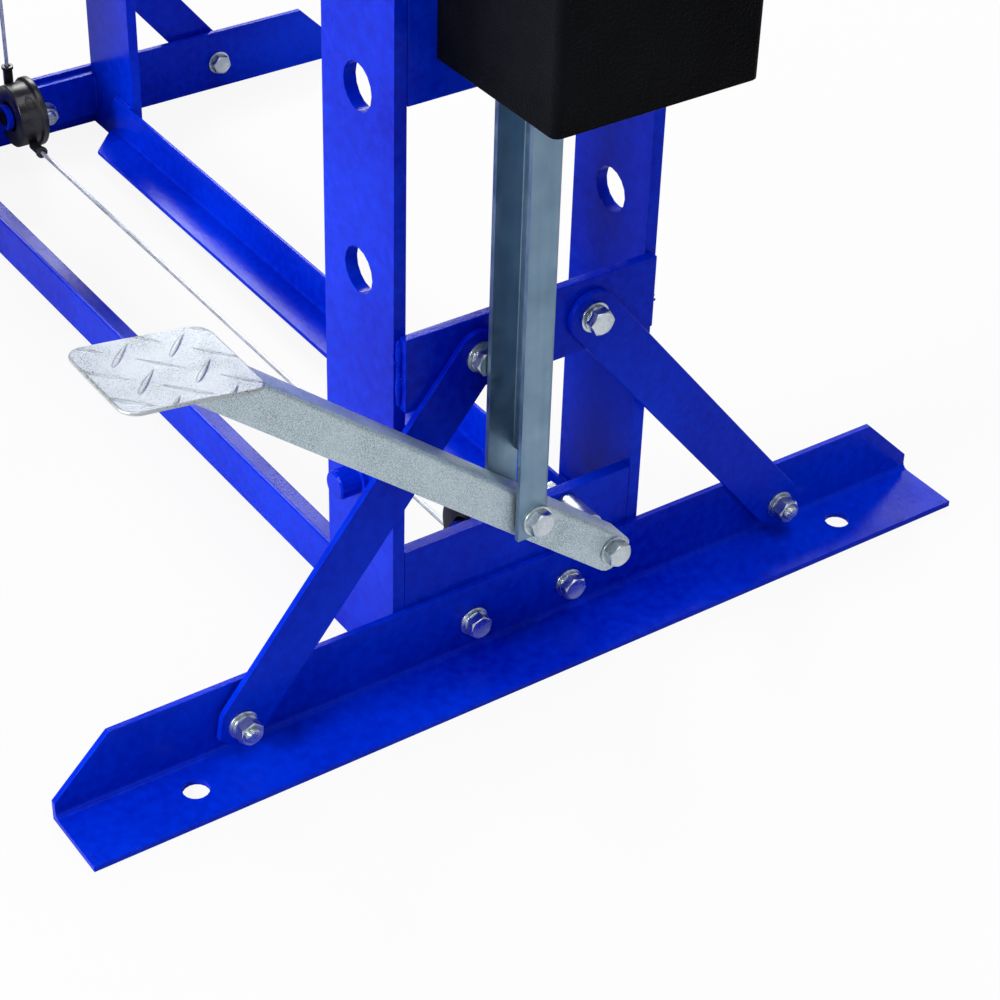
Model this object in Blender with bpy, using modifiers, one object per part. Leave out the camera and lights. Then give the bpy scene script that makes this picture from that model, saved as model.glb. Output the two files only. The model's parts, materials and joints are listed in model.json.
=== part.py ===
"""A garage hydraulic shop press with a foot pedal pump, a hand lever and a rope winch for its bed.

The frame stands on the XY plane with its origin between the feet, +X towards the pump side,
-Y to the front and +Z up. All lengths are in metres.
"""

import math

import bmesh
import bpy
from mathutils import Matrix, Vector

ASSEMBLY = "hydraulic_shop_press"

# Fits shared by every piece
SEAT = 0.0003
OVERRUN = 0.004
RUNNING_FIT = 0.00008

# Fineness of round pieces
ROUND_STEPS = 16
SMALL_STEPS = 12
FILLET_STEPS = 3

# Posts
CLEAR_WIDTH = 0.7306
POST_WIDTH = 0.090
POST_THICKNESS = 0.010
POST_HEIGHT = 1.885
BAY_DEPTH = 0.2052
PIN_HOLE_DIAMETER = 0.035
FIRST_HOLE_HEIGHT = 0.335
HOLE_SPACING = 0.140
TOP_HOLE_CLEARANCE = 0.060

# Feet
FOOT_LENGTH = 0.790
FOOT_LEG_WIDTH = 0.063
FOOT_THICKNESS = 0.005
FOOT_ROOT_RADIUS = 0.005
FOOT_CORNER_CUT = 0.045
ANCHOR_HOLE_DIAMETER = 0.020
ANCHOR_SPACING = 0.597
ANCHOR_FROM_UPRIGHT = 0.027

# Lower cross plates, bolted to the feet
LOW_PLATE_BOTTOM = 0.014
LOW_PLATE_HEIGHT = 0.100
LEFT_LOW_PLATE_HEIGHT = 0.045
LOW_PLATE_THICKNESS = 0.010
FOOT_BOLT_SPACING = 0.088
FOOT_BOLT_HEIGHT = 0.030

# Middle cross plates
MID_PLATE_BOTTOM = 0.244
MID_PLATE_HEIGHT = 0.060
MID_PLATE_WIDTH = 0.216
MID_PLATE_THICKNESS = 0.008

# Braces from the feet to the middle plates
BRACE_WIDTH = 0.041
BRACE_THICKNESS = 0.005
BRACE_TOP_SPACING = 0.098
BRACE_TOP_HEIGHT = 0.275
BRACE_FOOT_SPACING = 0.498
BRACE_FOOT_HEIGHT = 0.029
BRACE_FOOT_END_STEPS = 3

# Rails between the two sides
RAIL_LEG = 0.040
RAIL_THICKNESS = 0.004
RAIL_ROOT_RADIUS = 0.003
RAIL_LAP = 0.0347
RAIL_COPE = 0.036
RAIL_BOTTOM = 0.013

# Metric fasteners
BOLT_DIAMETER = 0.012
BOLT_FLATS = 0.018
BOLT_HEAD_HEIGHT = 0.0075
NUT_HEIGHT = 0.010
WASHER_DIAMETER = 0.024
WASHER_THICKNESS = 0.0020
BOLT_TAIL = 0.004
BOLT_CLEARANCE = 0.0005
HEAD_BOLT_DIAMETER = 0.020

# Head beams between the tops of the posts
HEAD_FROM_TOP = 0.325
HEAD_BEAM_HEIGHT = 0.200
HEAD_WEB_THICKNESS = 0.008
HEAD_FLANGE_WIDTH = 0.042
HEAD_FLANGE_THICKNESS = 0.010
HEAD_BOLT_RISE = 0.030
HEAD_BOLT_SPACING = 0.060
SEAT_PLATE_THICKNESS = 0.016
SEAT_PLATE_WIDTH = 0.180

# Cylinder and ram
CYLINDER_DIAMETER = 0.115
CYLINDER_RISE = 0.255
COLLAR_DIAMETER = 0.160
COLLAR_HEIGHT = 0.030
CYLINDER_CAP_THICKNESS = 0.030
RAM_DIAMETER = 0.070
RAM_NOSE_DROP = 0.130
RAM_NOSE_HEIGHT = 0.028
RAM_NOSE_DIAMETER = 0.084
RAM_TOP_GAP = 0.012
CYLINDER_EDGE = 0.004

# Bed
BED_CLEARANCE_OVER_PIN = 0.0005
BED_HEIGHT = 0.160
BED_LENGTH = 0.860
BED_WEB_THICKNESS = 0.008
BED_FLANGE_WIDTH = 0.038
BED_FLANGE_THICKNESS = 0.010
BED_SLOT = 0.120
BED_SPACER_OFFSET = 0.325
BED_SPACER_THICKNESS = 0.010
BED_SPACER_MARGIN = 0.020
LIFT_BAR_DIAMETER = 0.020
LIFT_BAR_FROM_TOP = 0.060
BLOCK_LENGTH = 0.190
BLOCK_WIDTH = 0.062
BLOCK_HEIGHT = 0.038
BLOCK_OFFSET = 0.085
BLOCK_NOTCH_WIDTH = 0.040
BLOCK_NOTCH_DEPTH = 0.020

# Bed pins
PIN_DIAMETER = 0.032
PIN_TAIL = 0.014
PIN_COLLAR_DIAMETER = 0.046
PIN_COLLAR_THICKNESS = 0.008
PIN_GRIP_DIAMETER = 0.026
PIN_GRIP_LENGTH = 0.034
PIN_CHAMFER = 0.003
BED_HOLE_NUMBER = 3

# Peg on the front post
PEG_HEIGHT = 0.160
PEG_DIAMETER = 0.023
PEG_LENGTH = 0.022
PEG_COLLAR_DIAMETER = 0.027
PEG_COLLAR_THICKNESS = 0.005
PEG_CHAMFER = 0.0015

# Rope and pulleys
ROPE_DIAMETER = 0.004
LOW_PULLEY_RADIUS = 0.025
LOW_PULLEY_X = 0.4016
LOW_PULLEY_HEIGHT = 0.061
HIGH_PULLEY_RISE = 0.140
RIGHT_PULLEY_X = 0.4096
LEFT_PULLEY_X = 0.4332
LEFT_PULLEY_RADIUS = 0.0486
PULLEY_LIP = 0.0022
PULLEY_WIDTH = 0.012
PULLEY_HUB_WIDTH = 0.018
PULLEY_AXLE_DIAMETER = 0.016
PULLEY_HUB_DIAMETER = 0.022
LOW_AXLE_STAND_OUT = 0.002
LOW_AXLE_CHAMFER = 0.001
AXLE_FLATS = 0.022
AXLE_WASHER_DIAMETER = 0.026
GUARD_DIAMETER = 0.062
GUARD_WALL = 0.0022
GUARD_WIDTH = 0.027
GUARD_RING_DIAMETER = 0.069
GUARD_RING_WIDTH = 0.005
GUARD_EYE_DIAMETER = 0.030
GUARD_NOZZLE_DIAMETER = 0.0095
GUARD_NOZZLE_LENGTH = 0.010
GUARD_NOZZLE_BORE = 0.0055
BRACKET_THICKNESS = 0.006
BRACKET_EYE_DIAMETER = 0.025
BRACKET_FOOT_HEIGHT = 0.060
LEFT_BRACKET_FOOT_HEIGHT = 0.041
BRACKET_FOOT_BOTTOM = 0.018

# Pump box on its plate
PUMP_PLATE_BOTTOM = 0.4765
PUMP_PLATE_HEIGHT = 0.410
PUMP_PLATE_THICKNESS = 0.008
BOX_BOTTOM = 0.506
BOX_HEIGHT = 0.354
BOX_WIDTH = 0.161
BOX_DEPTH = 0.1307
BOX_WALL = 0.002
BOX_BEND_RADIUS = 0.006

# Foot lever, a channel open downwards
LEVER_PIVOT_Y = 0.041
LEVER_PIVOT_Z = 0.100
LEVER_ANGLE = math.radians(39.2)
LEVER_CENTRE_X = 0.5037
LEVER_WIDTH = 0.030
LEVER_DEPTH = 0.030
LEVER_WALL = 0.004
LEVER_BEND_RADIUS = 0.0045
LEVER_PIVOT_FROM_TOP = 0.0115
LEVER_TAIL = 0.012
LEVER_TAIL_RADIUS = 0.010
ROD_BOLT_REACH = 0.100

# Pedal plate
PEDAL_LENGTH = 0.101
PEDAL_WIDTH = 0.085
PEDAL_THICKNESS = 0.003
PEDAL_CORNER_RADIUS = 0.012
PEDAL_TILT = math.radians(8)
PEDAL_CENTRE_Y = -0.3094
PEDAL_CENTRE_Z = 0.374

# Push rod, a channel open to the front
ROD_WIDTH = 0.044
ROD_DEPTH = 0.026
ROD_WALL = 0.004
ROD_BEND_RADIUS = 0.0045
ROD_BOLT_FROM_BACK = 0.0105
ROD_TAIL = 0.014
ROD_WEB_CUT = 0.037
ROD_TOP_PIN_HEIGHT = 0.655
ROD_TOP_PIN_SLACK = 0.0025

# Pump inside the box
ROCKER_PIVOT_Y = 0.039
ROCKER_PIVOT_Z = 0.640
ROCKER_THICKNESS = 0.020
ROCKER_FRONT_RADIUS = 0.012
ROCKER_HUB_RADIUS = 0.0155
ROCKER_TAIL_REACH = 0.020
ROCKER_TAIL_RADIUS = 0.010
ROCKER_PIN_DIAMETER = 0.010
ROCKER_SHAFT_DIAMETER = 0.020
BUSH_DIAMETER = 0.034
BUSH_LENGTH = 0.018
OUTER_BUSH_LENGTH = 0.008
OUTER_BUSH_DIAMETER = 0.030
BUSH_FIT = 0.0001
PLUNGER_DIAMETER = 0.016
PLUNGER_LENGTH = 0.120
PLUNGER_GAP = 0.0006
BLOCK_WALL = 0.018
BLOCK_BASE_GAP = 0.026
PUMP_BLOCK_HEIGHT = 0.130
BLOCK_BEHIND = 0.0175

# Hand lever outside the box
HANDLE_X = 0.600
HANDLE_HUB_DIAMETER = 0.044
HANDLE_HUB_WIDTH = 0.020
HANDLE_DIAMETER = 0.022
HANDLE_LENGTH = 0.450
HANDLE_LEAN = math.radians(42)
GRIP_DIAMETER = 0.032
GRIP_LENGTH = 0.130

# Valve knob on the front of the box
KNOB_X = 0.545
KNOB_HEIGHT = 0.720
KNOB_DIAMETER = 0.042
KNOB_THICKNESS = 0.018
KNOB_STEM_DIAMETER = 0.012
KNOB_STEM_LENGTH = 0.014

# Pressure pipe
PIPE_DIAMETER = 0.010
PIPE_X = 0.470
PIPE_Y = 0.030
PIPE_BEND_RADIUS = 0.040
PIPE_RISE = 0.060
PIPE_TURN_X = 0.130
FITTING_FLATS = 0.022
FITTING_LENGTH = 0.020

# Gauge on the head
GAUGE_X = 0.180
GAUGE_RISE = 0.095
GAUGE_DIAMETER = 0.100
GAUGE_DEPTH = 0.036
GAUGE_RIM = 0.006
GAUGE_RECESS = 0.012
GAUGE_STEM_DIAMETER = 0.030
GAUGE_STEM_LENGTH = 0.010
NEEDLE_LENGTH = 0.036
NEEDLE_TAIL = 0.010
NEEDLE_WIDTH = 0.004
NEEDLE_THICKNESS = 0.0015
NEEDLE_HUB_RADIUS = 0.005
NEEDLE_GAP = 0.0006
NEEDLE_REST = math.radians(-135)

# Winch on the left side
WINCH_HEIGHT = 1.130
DRUM_RADIUS = 0.025
DRUM_X = 0.4568
DRUM_FLANGE_DIAMETER = 0.074
DRUM_FLANGE_THICKNESS = 0.004
DRUM_LENGTH = 0.062
DRUM_SHAFT_DIAMETER = 0.016
WINCH_CHEEK_THICKNESS = 0.006
WINCH_CHEEK_INNER = 0.0315
WINCH_CHEEK_HEIGHT = 0.150
WINCH_CHEEK_INBOARD = 0.0275
WINCH_CHEEK_OUTBOARD = 0.082
WINCH_BAR_HEIGHT = 0.034
WINCH_BAR_THICKNESS = 0.008
WINCH_BAR_WIDTH = 0.216
WINCH_BAR_OFFSET = 0.058
GEAR_CASE_DEPTH = 0.034
GEAR_CASE_MARGIN = 0.022
CRANK_SHAFT_OFFSET = 0.052
CRANK_SHAFT_DIAMETER = 0.014
CRANK_STANDOFF = 0.024
CRANK_ARM_WIDTH = 0.024
CRANK_ARM_THICKNESS = 0.008
CRANK_GRIP_DIAMETER = 0.026
CRANK_GRIP_LENGTH = 0.085
DRUM_TURNS = 2
DRUM_TURN_SPACING = 0.0062
LOOP_STEPS = 24

# Derived frame positions
HEAD_BOTTOM = POST_HEIGHT - HEAD_FROM_TOP
HEAD_BOLT_HEIGHTS = (HEAD_BOTTOM + HEAD_BOLT_RISE, HEAD_BOTTOM + HEAD_BOLT_RISE + HEAD_BOLT_SPACING)
HOLE_COUNT = 1 + int((HEAD_BOTTOM - TOP_HOLE_CLEARANCE - FIRST_HOLE_HEIGHT) / HOLE_SPACING)
CYLINDER_TOP = HEAD_BOTTOM + CYLINDER_RISE
RAM_NOSE_BOTTOM = HEAD_BOTTOM - RAM_NOSE_DROP
HIGH_PULLEY_HEIGHT = HEAD_BOTTOM + HIGH_PULLEY_RISE
PIPE_TOP_HEIGHT = HEAD_BOTTOM + PIPE_RISE
GAUGE_HEIGHT = HEAD_BOTTOM + GAUGE_RISE
RAIL_LENGTH = CLEAR_WIDTH + 2 * RAIL_LAP
POST_X = CLEAR_WIDTH / 2 + POST_WIDTH / 2
POST_OUTER_X = CLEAR_WIDTH / 2 + POST_WIDTH
POST_INNER_Y = BAY_DEPTH / 2
POST_OUTER_Y = POST_INNER_Y + POST_THICKNESS
POST_MIDDLE_Y = POST_INNER_Y + POST_THICKNESS / 2
FOOT_OUTER_X = POST_OUTER_X + SEAT + FOOT_THICKNESS
MID_PLATE_X = POST_OUTER_X + SEAT + MID_PLATE_THICKNESS / 2
MID_PLATE_OUTER_X = POST_OUTER_X + SEAT + MID_PLATE_THICKNESS
BRACE_INNER_X = MID_PLATE_OUTER_X + SEAT
BED_PIN_HEIGHT = FIRST_HOLE_HEIGHT + BED_HOLE_NUMBER * HOLE_SPACING
BED_BOTTOM = BED_PIN_HEIGHT + PIN_DIAMETER / 2 + BED_CLEARANCE_OVER_PIN
BED_TOP = BED_BOTTOM + BED_HEIGHT
RIGHT_DROP_X = RIGHT_PULLEY_X - LOW_PULLEY_RADIUS
LEFT_DROP_X = LEFT_PULLEY_X - LEFT_PULLEY_RADIUS
LIFT_BAR_HEIGHT = BED_TOP - LIFT_BAR_FROM_TOP
ROD_BOLT_Y = LEVER_PIVOT_Y - ROD_BOLT_REACH * math.cos(LEVER_ANGLE)
ROD_BOLT_Z = LEVER_PIVOT_Z + ROD_BOLT_REACH * math.sin(LEVER_ANGLE)
BOX_INNER_X = POST_OUTER_X + SEAT
BOX_OUTER_X = BOX_INNER_X + BOX_DEPTH
BOX_TOP = BOX_BOTTOM + BOX_HEIGHT
WINCH_CHEEK_Y = WINCH_CHEEK_INNER + WINCH_CHEEK_THICKNESS / 2
CRANK_SHAFT_X = -DRUM_X - CRANK_SHAFT_OFFSET
CRANK_REACH = HANDLE_X + GRIP_DIAMETER / 2 - CRANK_GRIP_DIAMETER / 2 + CRANK_SHAFT_X

# Ways to face a flat piece or a turned piece
FACING_X = Matrix(((0, 0, 1, 0), (1, 0, 0, 0), (0, 1, 0, 0), (0, 0, 0, 1)))
FACING_FRONT = Matrix(((1, 0, 0, 0), (0, 0, -1, 0), (0, 1, 0, 0), (0, 0, 0, 1)))
FACING_UP = Matrix.Identity(4)

PARTS = bpy.data.collections.new(ASSEMBLY)
CUTTERS = bpy.data.collections.new("cutters")


def clear_scene():
    """Empties the scene and links the two collections."""
    for item in list(bpy.data.objects):
        bpy.data.objects.remove(item, do_unlink=True)
    bpy.context.scene.collection.children.link(PARTS)
    bpy.context.scene.collection.children.link(CUTTERS)
    CUTTERS.hide_render = True


def paint(name, colour, roughness, metallic=0.0):
    """A plain Principled material."""
    material = bpy.data.materials.get(name) or bpy.data.materials.new(name)
    material.use_nodes = True
    shader = material.node_tree.nodes["Principled BSDF"]
    shader.inputs["Base Color"].default_value = (*colour, 1)
    shader.inputs["Roughness"].default_value = roughness
    shader.inputs["Metallic"].default_value = metallic
    return material


def blue_paint():
    return paint("blue_powder_coat", (0.0, 0.02, 0.62), 0.35)


def black_paint():
    return paint("black_texture_paint", (0.012, 0.012, 0.013), 0.5)


def black_plastic():
    return paint("black_plastic", (0.02, 0.02, 0.022), 0.45)


def black_rubber():
    return paint("black_rubber", (0.02, 0.02, 0.02), 0.8)


def bright_zinc():
    return paint("bright_zinc", (0.72, 0.76, 0.80), 0.3, 1)


def galvanised():
    return paint("galvanised_steel", (0.55, 0.58, 0.60), 0.45, 1)


def machined_steel():
    return paint("machined_steel", (0.45, 0.45, 0.46), 0.35, 1)


def hard_chrome():
    return paint("hard_chrome", (0.80, 0.80, 0.82), 0.12, 1)


def rope_steel():
    return paint("rope_steel", (0.60, 0.62, 0.63), 0.4, 1)


def needle_red():
    return paint("needle_red", (0.55, 0.02, 0.02), 0.4)


def keep(name, mesh, material, spot=(0, 0, 0), turn=FACING_UP, collection=PARTS):
    """An object that shows a mesh, placed by its location and rotation."""
    piece = bpy.data.objects.new(name, mesh)
    collection.objects.link(piece)
    piece.location = spot
    piece.rotation_euler = turn.to_euler()
    if material:
        mesh.materials.clear()
        mesh.materials.append(material)
    return piece


def finished_mesh(piece):
    """The evaluated mesh of an object, welded and facing outwards; the object is removed."""
    bpy.context.view_layer.update()
    graph = bpy.context.evaluated_depsgraph_get()
    mesh = bpy.data.meshes.new_from_object(piece.evaluated_get(graph), depsgraph=graph)
    placing = piece.matrix_world.copy()
    bpy.data.objects.remove(piece, do_unlink=True)
    body = bmesh.new()
    body.from_mesh(mesh)
    bmesh.ops.transform(body, matrix=placing, verts=body.verts)
    bmesh.ops.remove_doubles(body, verts=body.verts, dist=SEAT / 30)
    bmesh.ops.recalc_face_normals(body, faces=body.faces)
    body.to_mesh(mesh)
    body.free()
    return mesh


def flat_mesh(outline, thickness, holes=()):
    """A flat outline with holes, drawn in XY and as thick on both sides of it."""
    curve = bpy.data.curves.new("outline", "CURVE")
    curve.dimensions = "2D"
    curve.fill_mode = "BOTH"
    curve.extrude = thickness / 2
    for loop in (outline, *holes):
        spline = curve.splines.new("POLY")
        spline.points.add(len(loop) - 1)
        for point, (across, up) in zip(spline.points, loop):
            point.co = (across, up, 0, 1)
        spline.use_cyclic_u = True
    drawn = bpy.data.objects.new("outline", curve)
    CUTTERS.objects.link(drawn)
    return finished_mesh(drawn)


def circle(radius, spot=(0, 0), steps=ROUND_STEPS):
    """Points round a circle."""
    turns = (math.tau * step / steps for step in range(steps))
    return [(spot[0] + radius * math.cos(turn), spot[1] + radius * math.sin(turn)) for turn in turns]


def arc(radius, spot, start, end, steps):
    """Points along an arc, both ends included, with angles in radians."""
    turns = (start + (end - start) * step / steps for step in range(steps + 1))
    return [(spot[0] + radius * math.cos(turn), spot[1] + radius * math.sin(turn)) for turn in turns]


def rectangle(width, height, spot=(0, 0)):
    """Corners of a rectangle about a spot."""
    left, low = spot[0] - width / 2, spot[1] - height / 2
    return [(left, low), (left + width, low), (left + width, low + height), (left, low + height)]


def rounded_rectangle(width, height, radius):
    """A rectangle about the origin with round corners."""
    corners = ((1, 1, 0), (-1, 1, 1), (-1, -1, 2), (1, -1, 3))
    points = []
    for across, up, quarter in corners:
        spot = (across * (width / 2 - radius), up * (height / 2 - radius))
        points += arc(radius, spot, quarter * math.pi / 2, (quarter + 1) * math.pi / 2, FILLET_STEPS)
    return points


def link_outline(start, end, start_radius, end_radius, start_steps, end_steps):
    """A straight bar between two eyes, with a round end about each."""
    lean = math.atan2(end[1] - start[1], end[0] - start[0])
    spread = math.dist(start, end)
    side = math.acos((start_radius - end_radius) / spread)
    points = arc(end_radius, end, lean - side, lean + side, end_steps)
    return points + arc(start_radius, start, lean + side, lean + math.tau - side, start_steps)


def box_mesh(size):
    """A box about the origin."""
    body = bmesh.new()
    bmesh.ops.create_cube(body, size=1)
    bmesh.ops.scale(body, vec=size, verts=body.verts)
    mesh = bpy.data.meshes.new("box")
    body.to_mesh(mesh)
    body.free()
    return mesh


def rods_mesh(rods, axis, steps=ROUND_STEPS):
    """Cylinders along one axis, each given by its middle, radius and length."""
    body = bmesh.new()
    turn = Vector((0, 0, 1)).rotation_difference(Vector(axis)).to_matrix().to_4x4()
    for middle, radius, length in rods:
        placing = Matrix.Translation(middle) @ turn
        bmesh.ops.create_cone(
            body, cap_ends=True, segments=steps, radius1=radius, radius2=radius, depth=length, matrix=placing
        )
    mesh = bpy.data.meshes.new("rods")
    body.to_mesh(mesh)
    body.free()
    return mesh


def prism_mesh(sides, flats, bottom, top):
    """A prism along Z with a width across flats, such as a bolt head."""
    body = bmesh.new()
    radius = flats / 2 / math.cos(math.pi / sides)
    bmesh.ops.create_cone(
        body, cap_ends=True, segments=sides, radius1=radius, radius2=radius, depth=top - bottom,
        matrix=Matrix.Translation((0, 0, (top + bottom) / 2)),
    )
    mesh = bpy.data.meshes.new("prism")
    body.to_mesh(mesh)
    body.free()
    return mesh


def cut(piece, mesh, operation="DIFFERENCE"):
    """Takes a mesh given in world space out of a piece, or joins it on."""
    tool = keep(piece.name + "_" + operation.lower(), mesh, None, collection=CUTTERS)
    tool.hide_render = True
    tool.display_type = "WIRE"
    step = piece.modifiers.new(operation.lower(), "BOOLEAN")
    step.operation = operation
    step.solver = "EXACT"
    step.object = tool
    return piece


def joined_mesh(meshes):
    """One body made of overlapping meshes by Boolean unions."""
    base = keep("joined", meshes[0], None, collection=CUTTERS)
    tools = []
    for mesh in meshes[1:]:
        cut(base, mesh, "UNION")
        tools.append(base.modifiers[-1].object)
    mesh = finished_mesh(base)
    for tool in tools:
        bpy.data.objects.remove(tool, do_unlink=True)
    return mesh


def copies_mesh(mesh, placings):
    """Separate copies of one mesh, each under its own matrix."""
    body = bmesh.new()
    for placing in placings:
        part = bmesh.new()
        part.from_mesh(mesh)
        bmesh.ops.transform(part, matrix=placing, verts=part.verts)
        if placing.determinant() < 0:
            bmesh.ops.reverse_faces(part, faces=part.faces)
        copy = bpy.data.meshes.new("copy")
        part.to_mesh(copy)
        part.free()
        body.from_mesh(copy)
    group = bpy.data.meshes.new("group")
    body.to_mesh(group)
    body.free()
    return group


def merged_mesh(meshes):
    """Several separate meshes as one."""
    body = bmesh.new()
    for mesh in meshes:
        body.from_mesh(mesh)
    group = bpy.data.meshes.new("group")
    body.to_mesh(group)
    body.free()
    return group


def smooth(piece, angle=math.radians(35)):
    """Smooth shading with sharp edges past an angle."""
    piece.data.shade_smooth()
    piece.data.set_sharp_from_angle(angle=angle)
    return piece


def turned(name, profile, material, spot, turn=FACING_UP, steps=ROUND_STEPS, closed=False):
    """A turned piece: its profile of radius and height runs down its outer side."""
    mesh = bpy.data.meshes.new(name)
    points = [(radius, 0, height) for radius, height in profile]
    edges = [(index, index + 1) for index in range(len(points) - 1)]
    if closed:
        edges.append((len(points) - 1, 0))
    mesh.from_pydata(points, edges, [])
    piece = keep(name, mesh, material, spot, turn)
    screw = piece.modifiers.new("turn", "SCREW")
    screw.steps = steps
    screw.render_steps = steps
    screw.use_merge_vertices = True
    screw.merge_threshold = SEAT / 30
    screw.use_smooth_shade = False
    return piece


def tube_mesh(points, radius, resolution):
    """A solid tube along straight runs between points."""
    curve = bpy.data.curves.new("tube", "CURVE")
    curve.dimensions = "3D"
    curve.bevel_depth = radius
    curve.bevel_resolution = resolution
    curve.use_fill_caps = True
    spline = curve.splines.new("POLY")
    spline.points.add(len(points) - 1)
    for point, spot in zip(spline.points, points):
        point.co = (*spot, 1)
    drawn = bpy.data.objects.new("tube", curve)
    CUTTERS.objects.link(drawn)
    return finished_mesh(drawn)


def filleted(corners, radius, steps):
    """A route through corners, each rounded to a radius."""
    route = [Vector(corners[0])]
    for before, corner, after in zip(corners, corners[1:], corners[2:]):
        corner = Vector(corner)
        back = (Vector(before) - corner).normalized()
        ahead = (Vector(after) - corner).normalized()
        half = back.angle(ahead) / 2
        centre = corner + (back + ahead).normalized() * radius / math.sin(half)
        start = corner + back * radius / math.tan(half) - centre
        end = corner + ahead * radius / math.tan(half) - centre
        for step in range(steps + 1):
            route.append(centre + radius * start.slerp(end, step / steps).normalized())
    return route + [Vector(corners[-1])]


def bolt_mesh(grip, diameter, flats, head, nut, washer, shoulder=None):
    """One bolt with a washer and nut along Z, its clamped stack reaching down from the origin.

    A shoulder is a thick stretch of the shank, given by its diameter, top and bottom.
    """
    top = WASHER_THICKNESS + head
    nut_top = -grip - 2 * SEAT
    end = nut_top - nut - BOLT_TAIL
    middle, length = (top - head / 2 + end) / 2, top - head / 2 - end
    meshes = [
        rods_mesh([((0, 0, middle), diameter / 2, length)], (0, 0, 1), ROUND_STEPS),
        prism_mesh(6, flats, WASHER_THICKNESS, top),
        prism_mesh(6, flats, nut_top - nut, nut_top),
        prism_mesh(ROUND_STEPS, washer, 0, WASHER_THICKNESS + SEAT),
    ]
    if shoulder:
        meshes.append(prism_mesh(ROUND_STEPS, *shoulder))
    return joined_mesh(meshes)


def along_x(side, depth, across, height, lift=SEAT):
    """A placing for a bolt along X on one side, its head outwards."""
    turn = Matrix.Rotation(math.pi / 2 * side, 4, "Y")
    return Matrix.Translation((side * (depth + lift), across, height)) @ turn


def along_y(depth, across, height, facing, lift=SEAT):
    """A placing for a bolt along Y, its head towards facing, which is 1 or -1."""
    turn = Matrix.Rotation(-math.pi / 2 * facing, 4, "X")
    return Matrix.Translation((across, facing * (depth + lift), height)) @ turn


def bolt_hole(diameter):
    return diameter / 2 + BOLT_CLEARANCE


def turning_bore(diameter):
    """Radius of a many-sided bore whose flats stay clear of a shaft that turns in it."""
    return (diameter / 2 + BUSH_FIT) / math.cos(math.pi / ROUND_STEPS)


# Frame pieces

def angle_outline(leg, thickness, root, side):
    """Section of an angle iron with its corner at the origin and its legs along +X times side and +Y."""
    inner = arc(root, (thickness + root, thickness + root), 1.5 * math.pi, math.pi, FILLET_STEPS)
    points = [(0, 0), (leg, 0), (leg, thickness), *inner, (thickness, leg), (0, leg)]
    return [(side * across, up) for across, up in points]


def foot(side, name):
    """Angle iron foot, its upright leg against the posts and its toe outwards."""
    outline = angle_outline(FOOT_LEG_WIDTH, FOOT_THICKNESS, FOOT_ROOT_RADIUS, side)
    mesh = flat_mesh(outline, FOOT_LENGTH)
    piece = keep(name, mesh, blue_paint(), (side * (POST_OUTER_X + SEAT), 0, 0), FACING_FRONT)
    ends = []
    for end in (1, -1):
        corner = [
            (end * (FOOT_LENGTH / 2 - FOOT_CORNER_CUT), FOOT_LEG_WIDTH),
            (end * (FOOT_LENGTH / 2), FOOT_LEG_WIDTH - FOOT_CORNER_CUT),
            (end * (FOOT_LENGTH / 2 + OVERRUN), FOOT_LEG_WIDTH - FOOT_CORNER_CUT - OVERRUN),
            (end * (FOOT_LENGTH / 2 + OVERRUN), FOOT_LEG_WIDTH + OVERRUN),
            (end * (FOOT_LENGTH / 2 - FOOT_CORNER_CUT - OVERRUN), FOOT_LEG_WIDTH + OVERRUN),
        ]
        ends.append(flat_mesh(corner, 2 * FOOT_THICKNESS + 2 * OVERRUN))
    upright_x = side * (POST_OUTER_X + SEAT + FOOT_THICKNESS / 2)
    ends = copies_mesh(merged_mesh(ends), [Matrix.Translation((upright_x, 0, 0)) @ FACING_X])
    cut(piece, ends)
    wall = FOOT_THICKNESS + 2 * OVERRUN
    spots = [(y, FOOT_BOLT_HEIGHT) for y in (FOOT_BOLT_SPACING / 2, -FOOT_BOLT_SPACING / 2)]
    spots += [(y, BRACE_FOOT_HEIGHT) for y in (BRACE_FOOT_SPACING / 2, -BRACE_FOOT_SPACING / 2)]
    rods = [((upright_x, y, z), bolt_hole(BOLT_DIAMETER), wall) for y, z in spots]
    cut(piece, rods_mesh(rods, (1, 0, 0), SMALL_STEPS))
    anchor_x = side * (FOOT_OUTER_X + ANCHOR_FROM_UPRIGHT)
    rods = [
        ((anchor_x, y, FOOT_THICKNESS / 2), ANCHOR_HOLE_DIAMETER / 2, wall)
        for y in (ANCHOR_SPACING / 2, -ANCHOR_SPACING / 2)
    ]
    cut(piece, rods_mesh(rods, (0, 0, 1)))
    return piece


def post(side, end, name):
    """Flat bar post with its row of pin holes, on one side and at the front (-1) or back (1)."""
    holes = [
        circle(PIN_HOLE_DIAMETER / 2, (0, FIRST_HOLE_HEIGHT + number * HOLE_SPACING))
        for number in range(HOLE_COUNT)
    ]
    holes += [circle(bolt_hole(HEAD_BOLT_DIAMETER), (0, height), SMALL_STEPS) for height in HEAD_BOLT_HEIGHTS]
    axle_x = RIGHT_PULLEY_X if side > 0 else -LEFT_PULLEY_X
    axle = (axle_x - side * POST_X, HIGH_PULLEY_HEIGHT)
    holes.append(circle(bolt_hole(PULLEY_AXLE_DIAMETER), axle, SMALL_STEPS))
    outline = rectangle(POST_WIDTH, POST_HEIGHT, (0, POST_HEIGHT / 2))
    mesh = flat_mesh(outline, POST_THICKNESS, holes)
    return keep(name, mesh, blue_paint(), (side * POST_X, end * POST_MIDDLE_Y, 0), FACING_FRONT)


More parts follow.
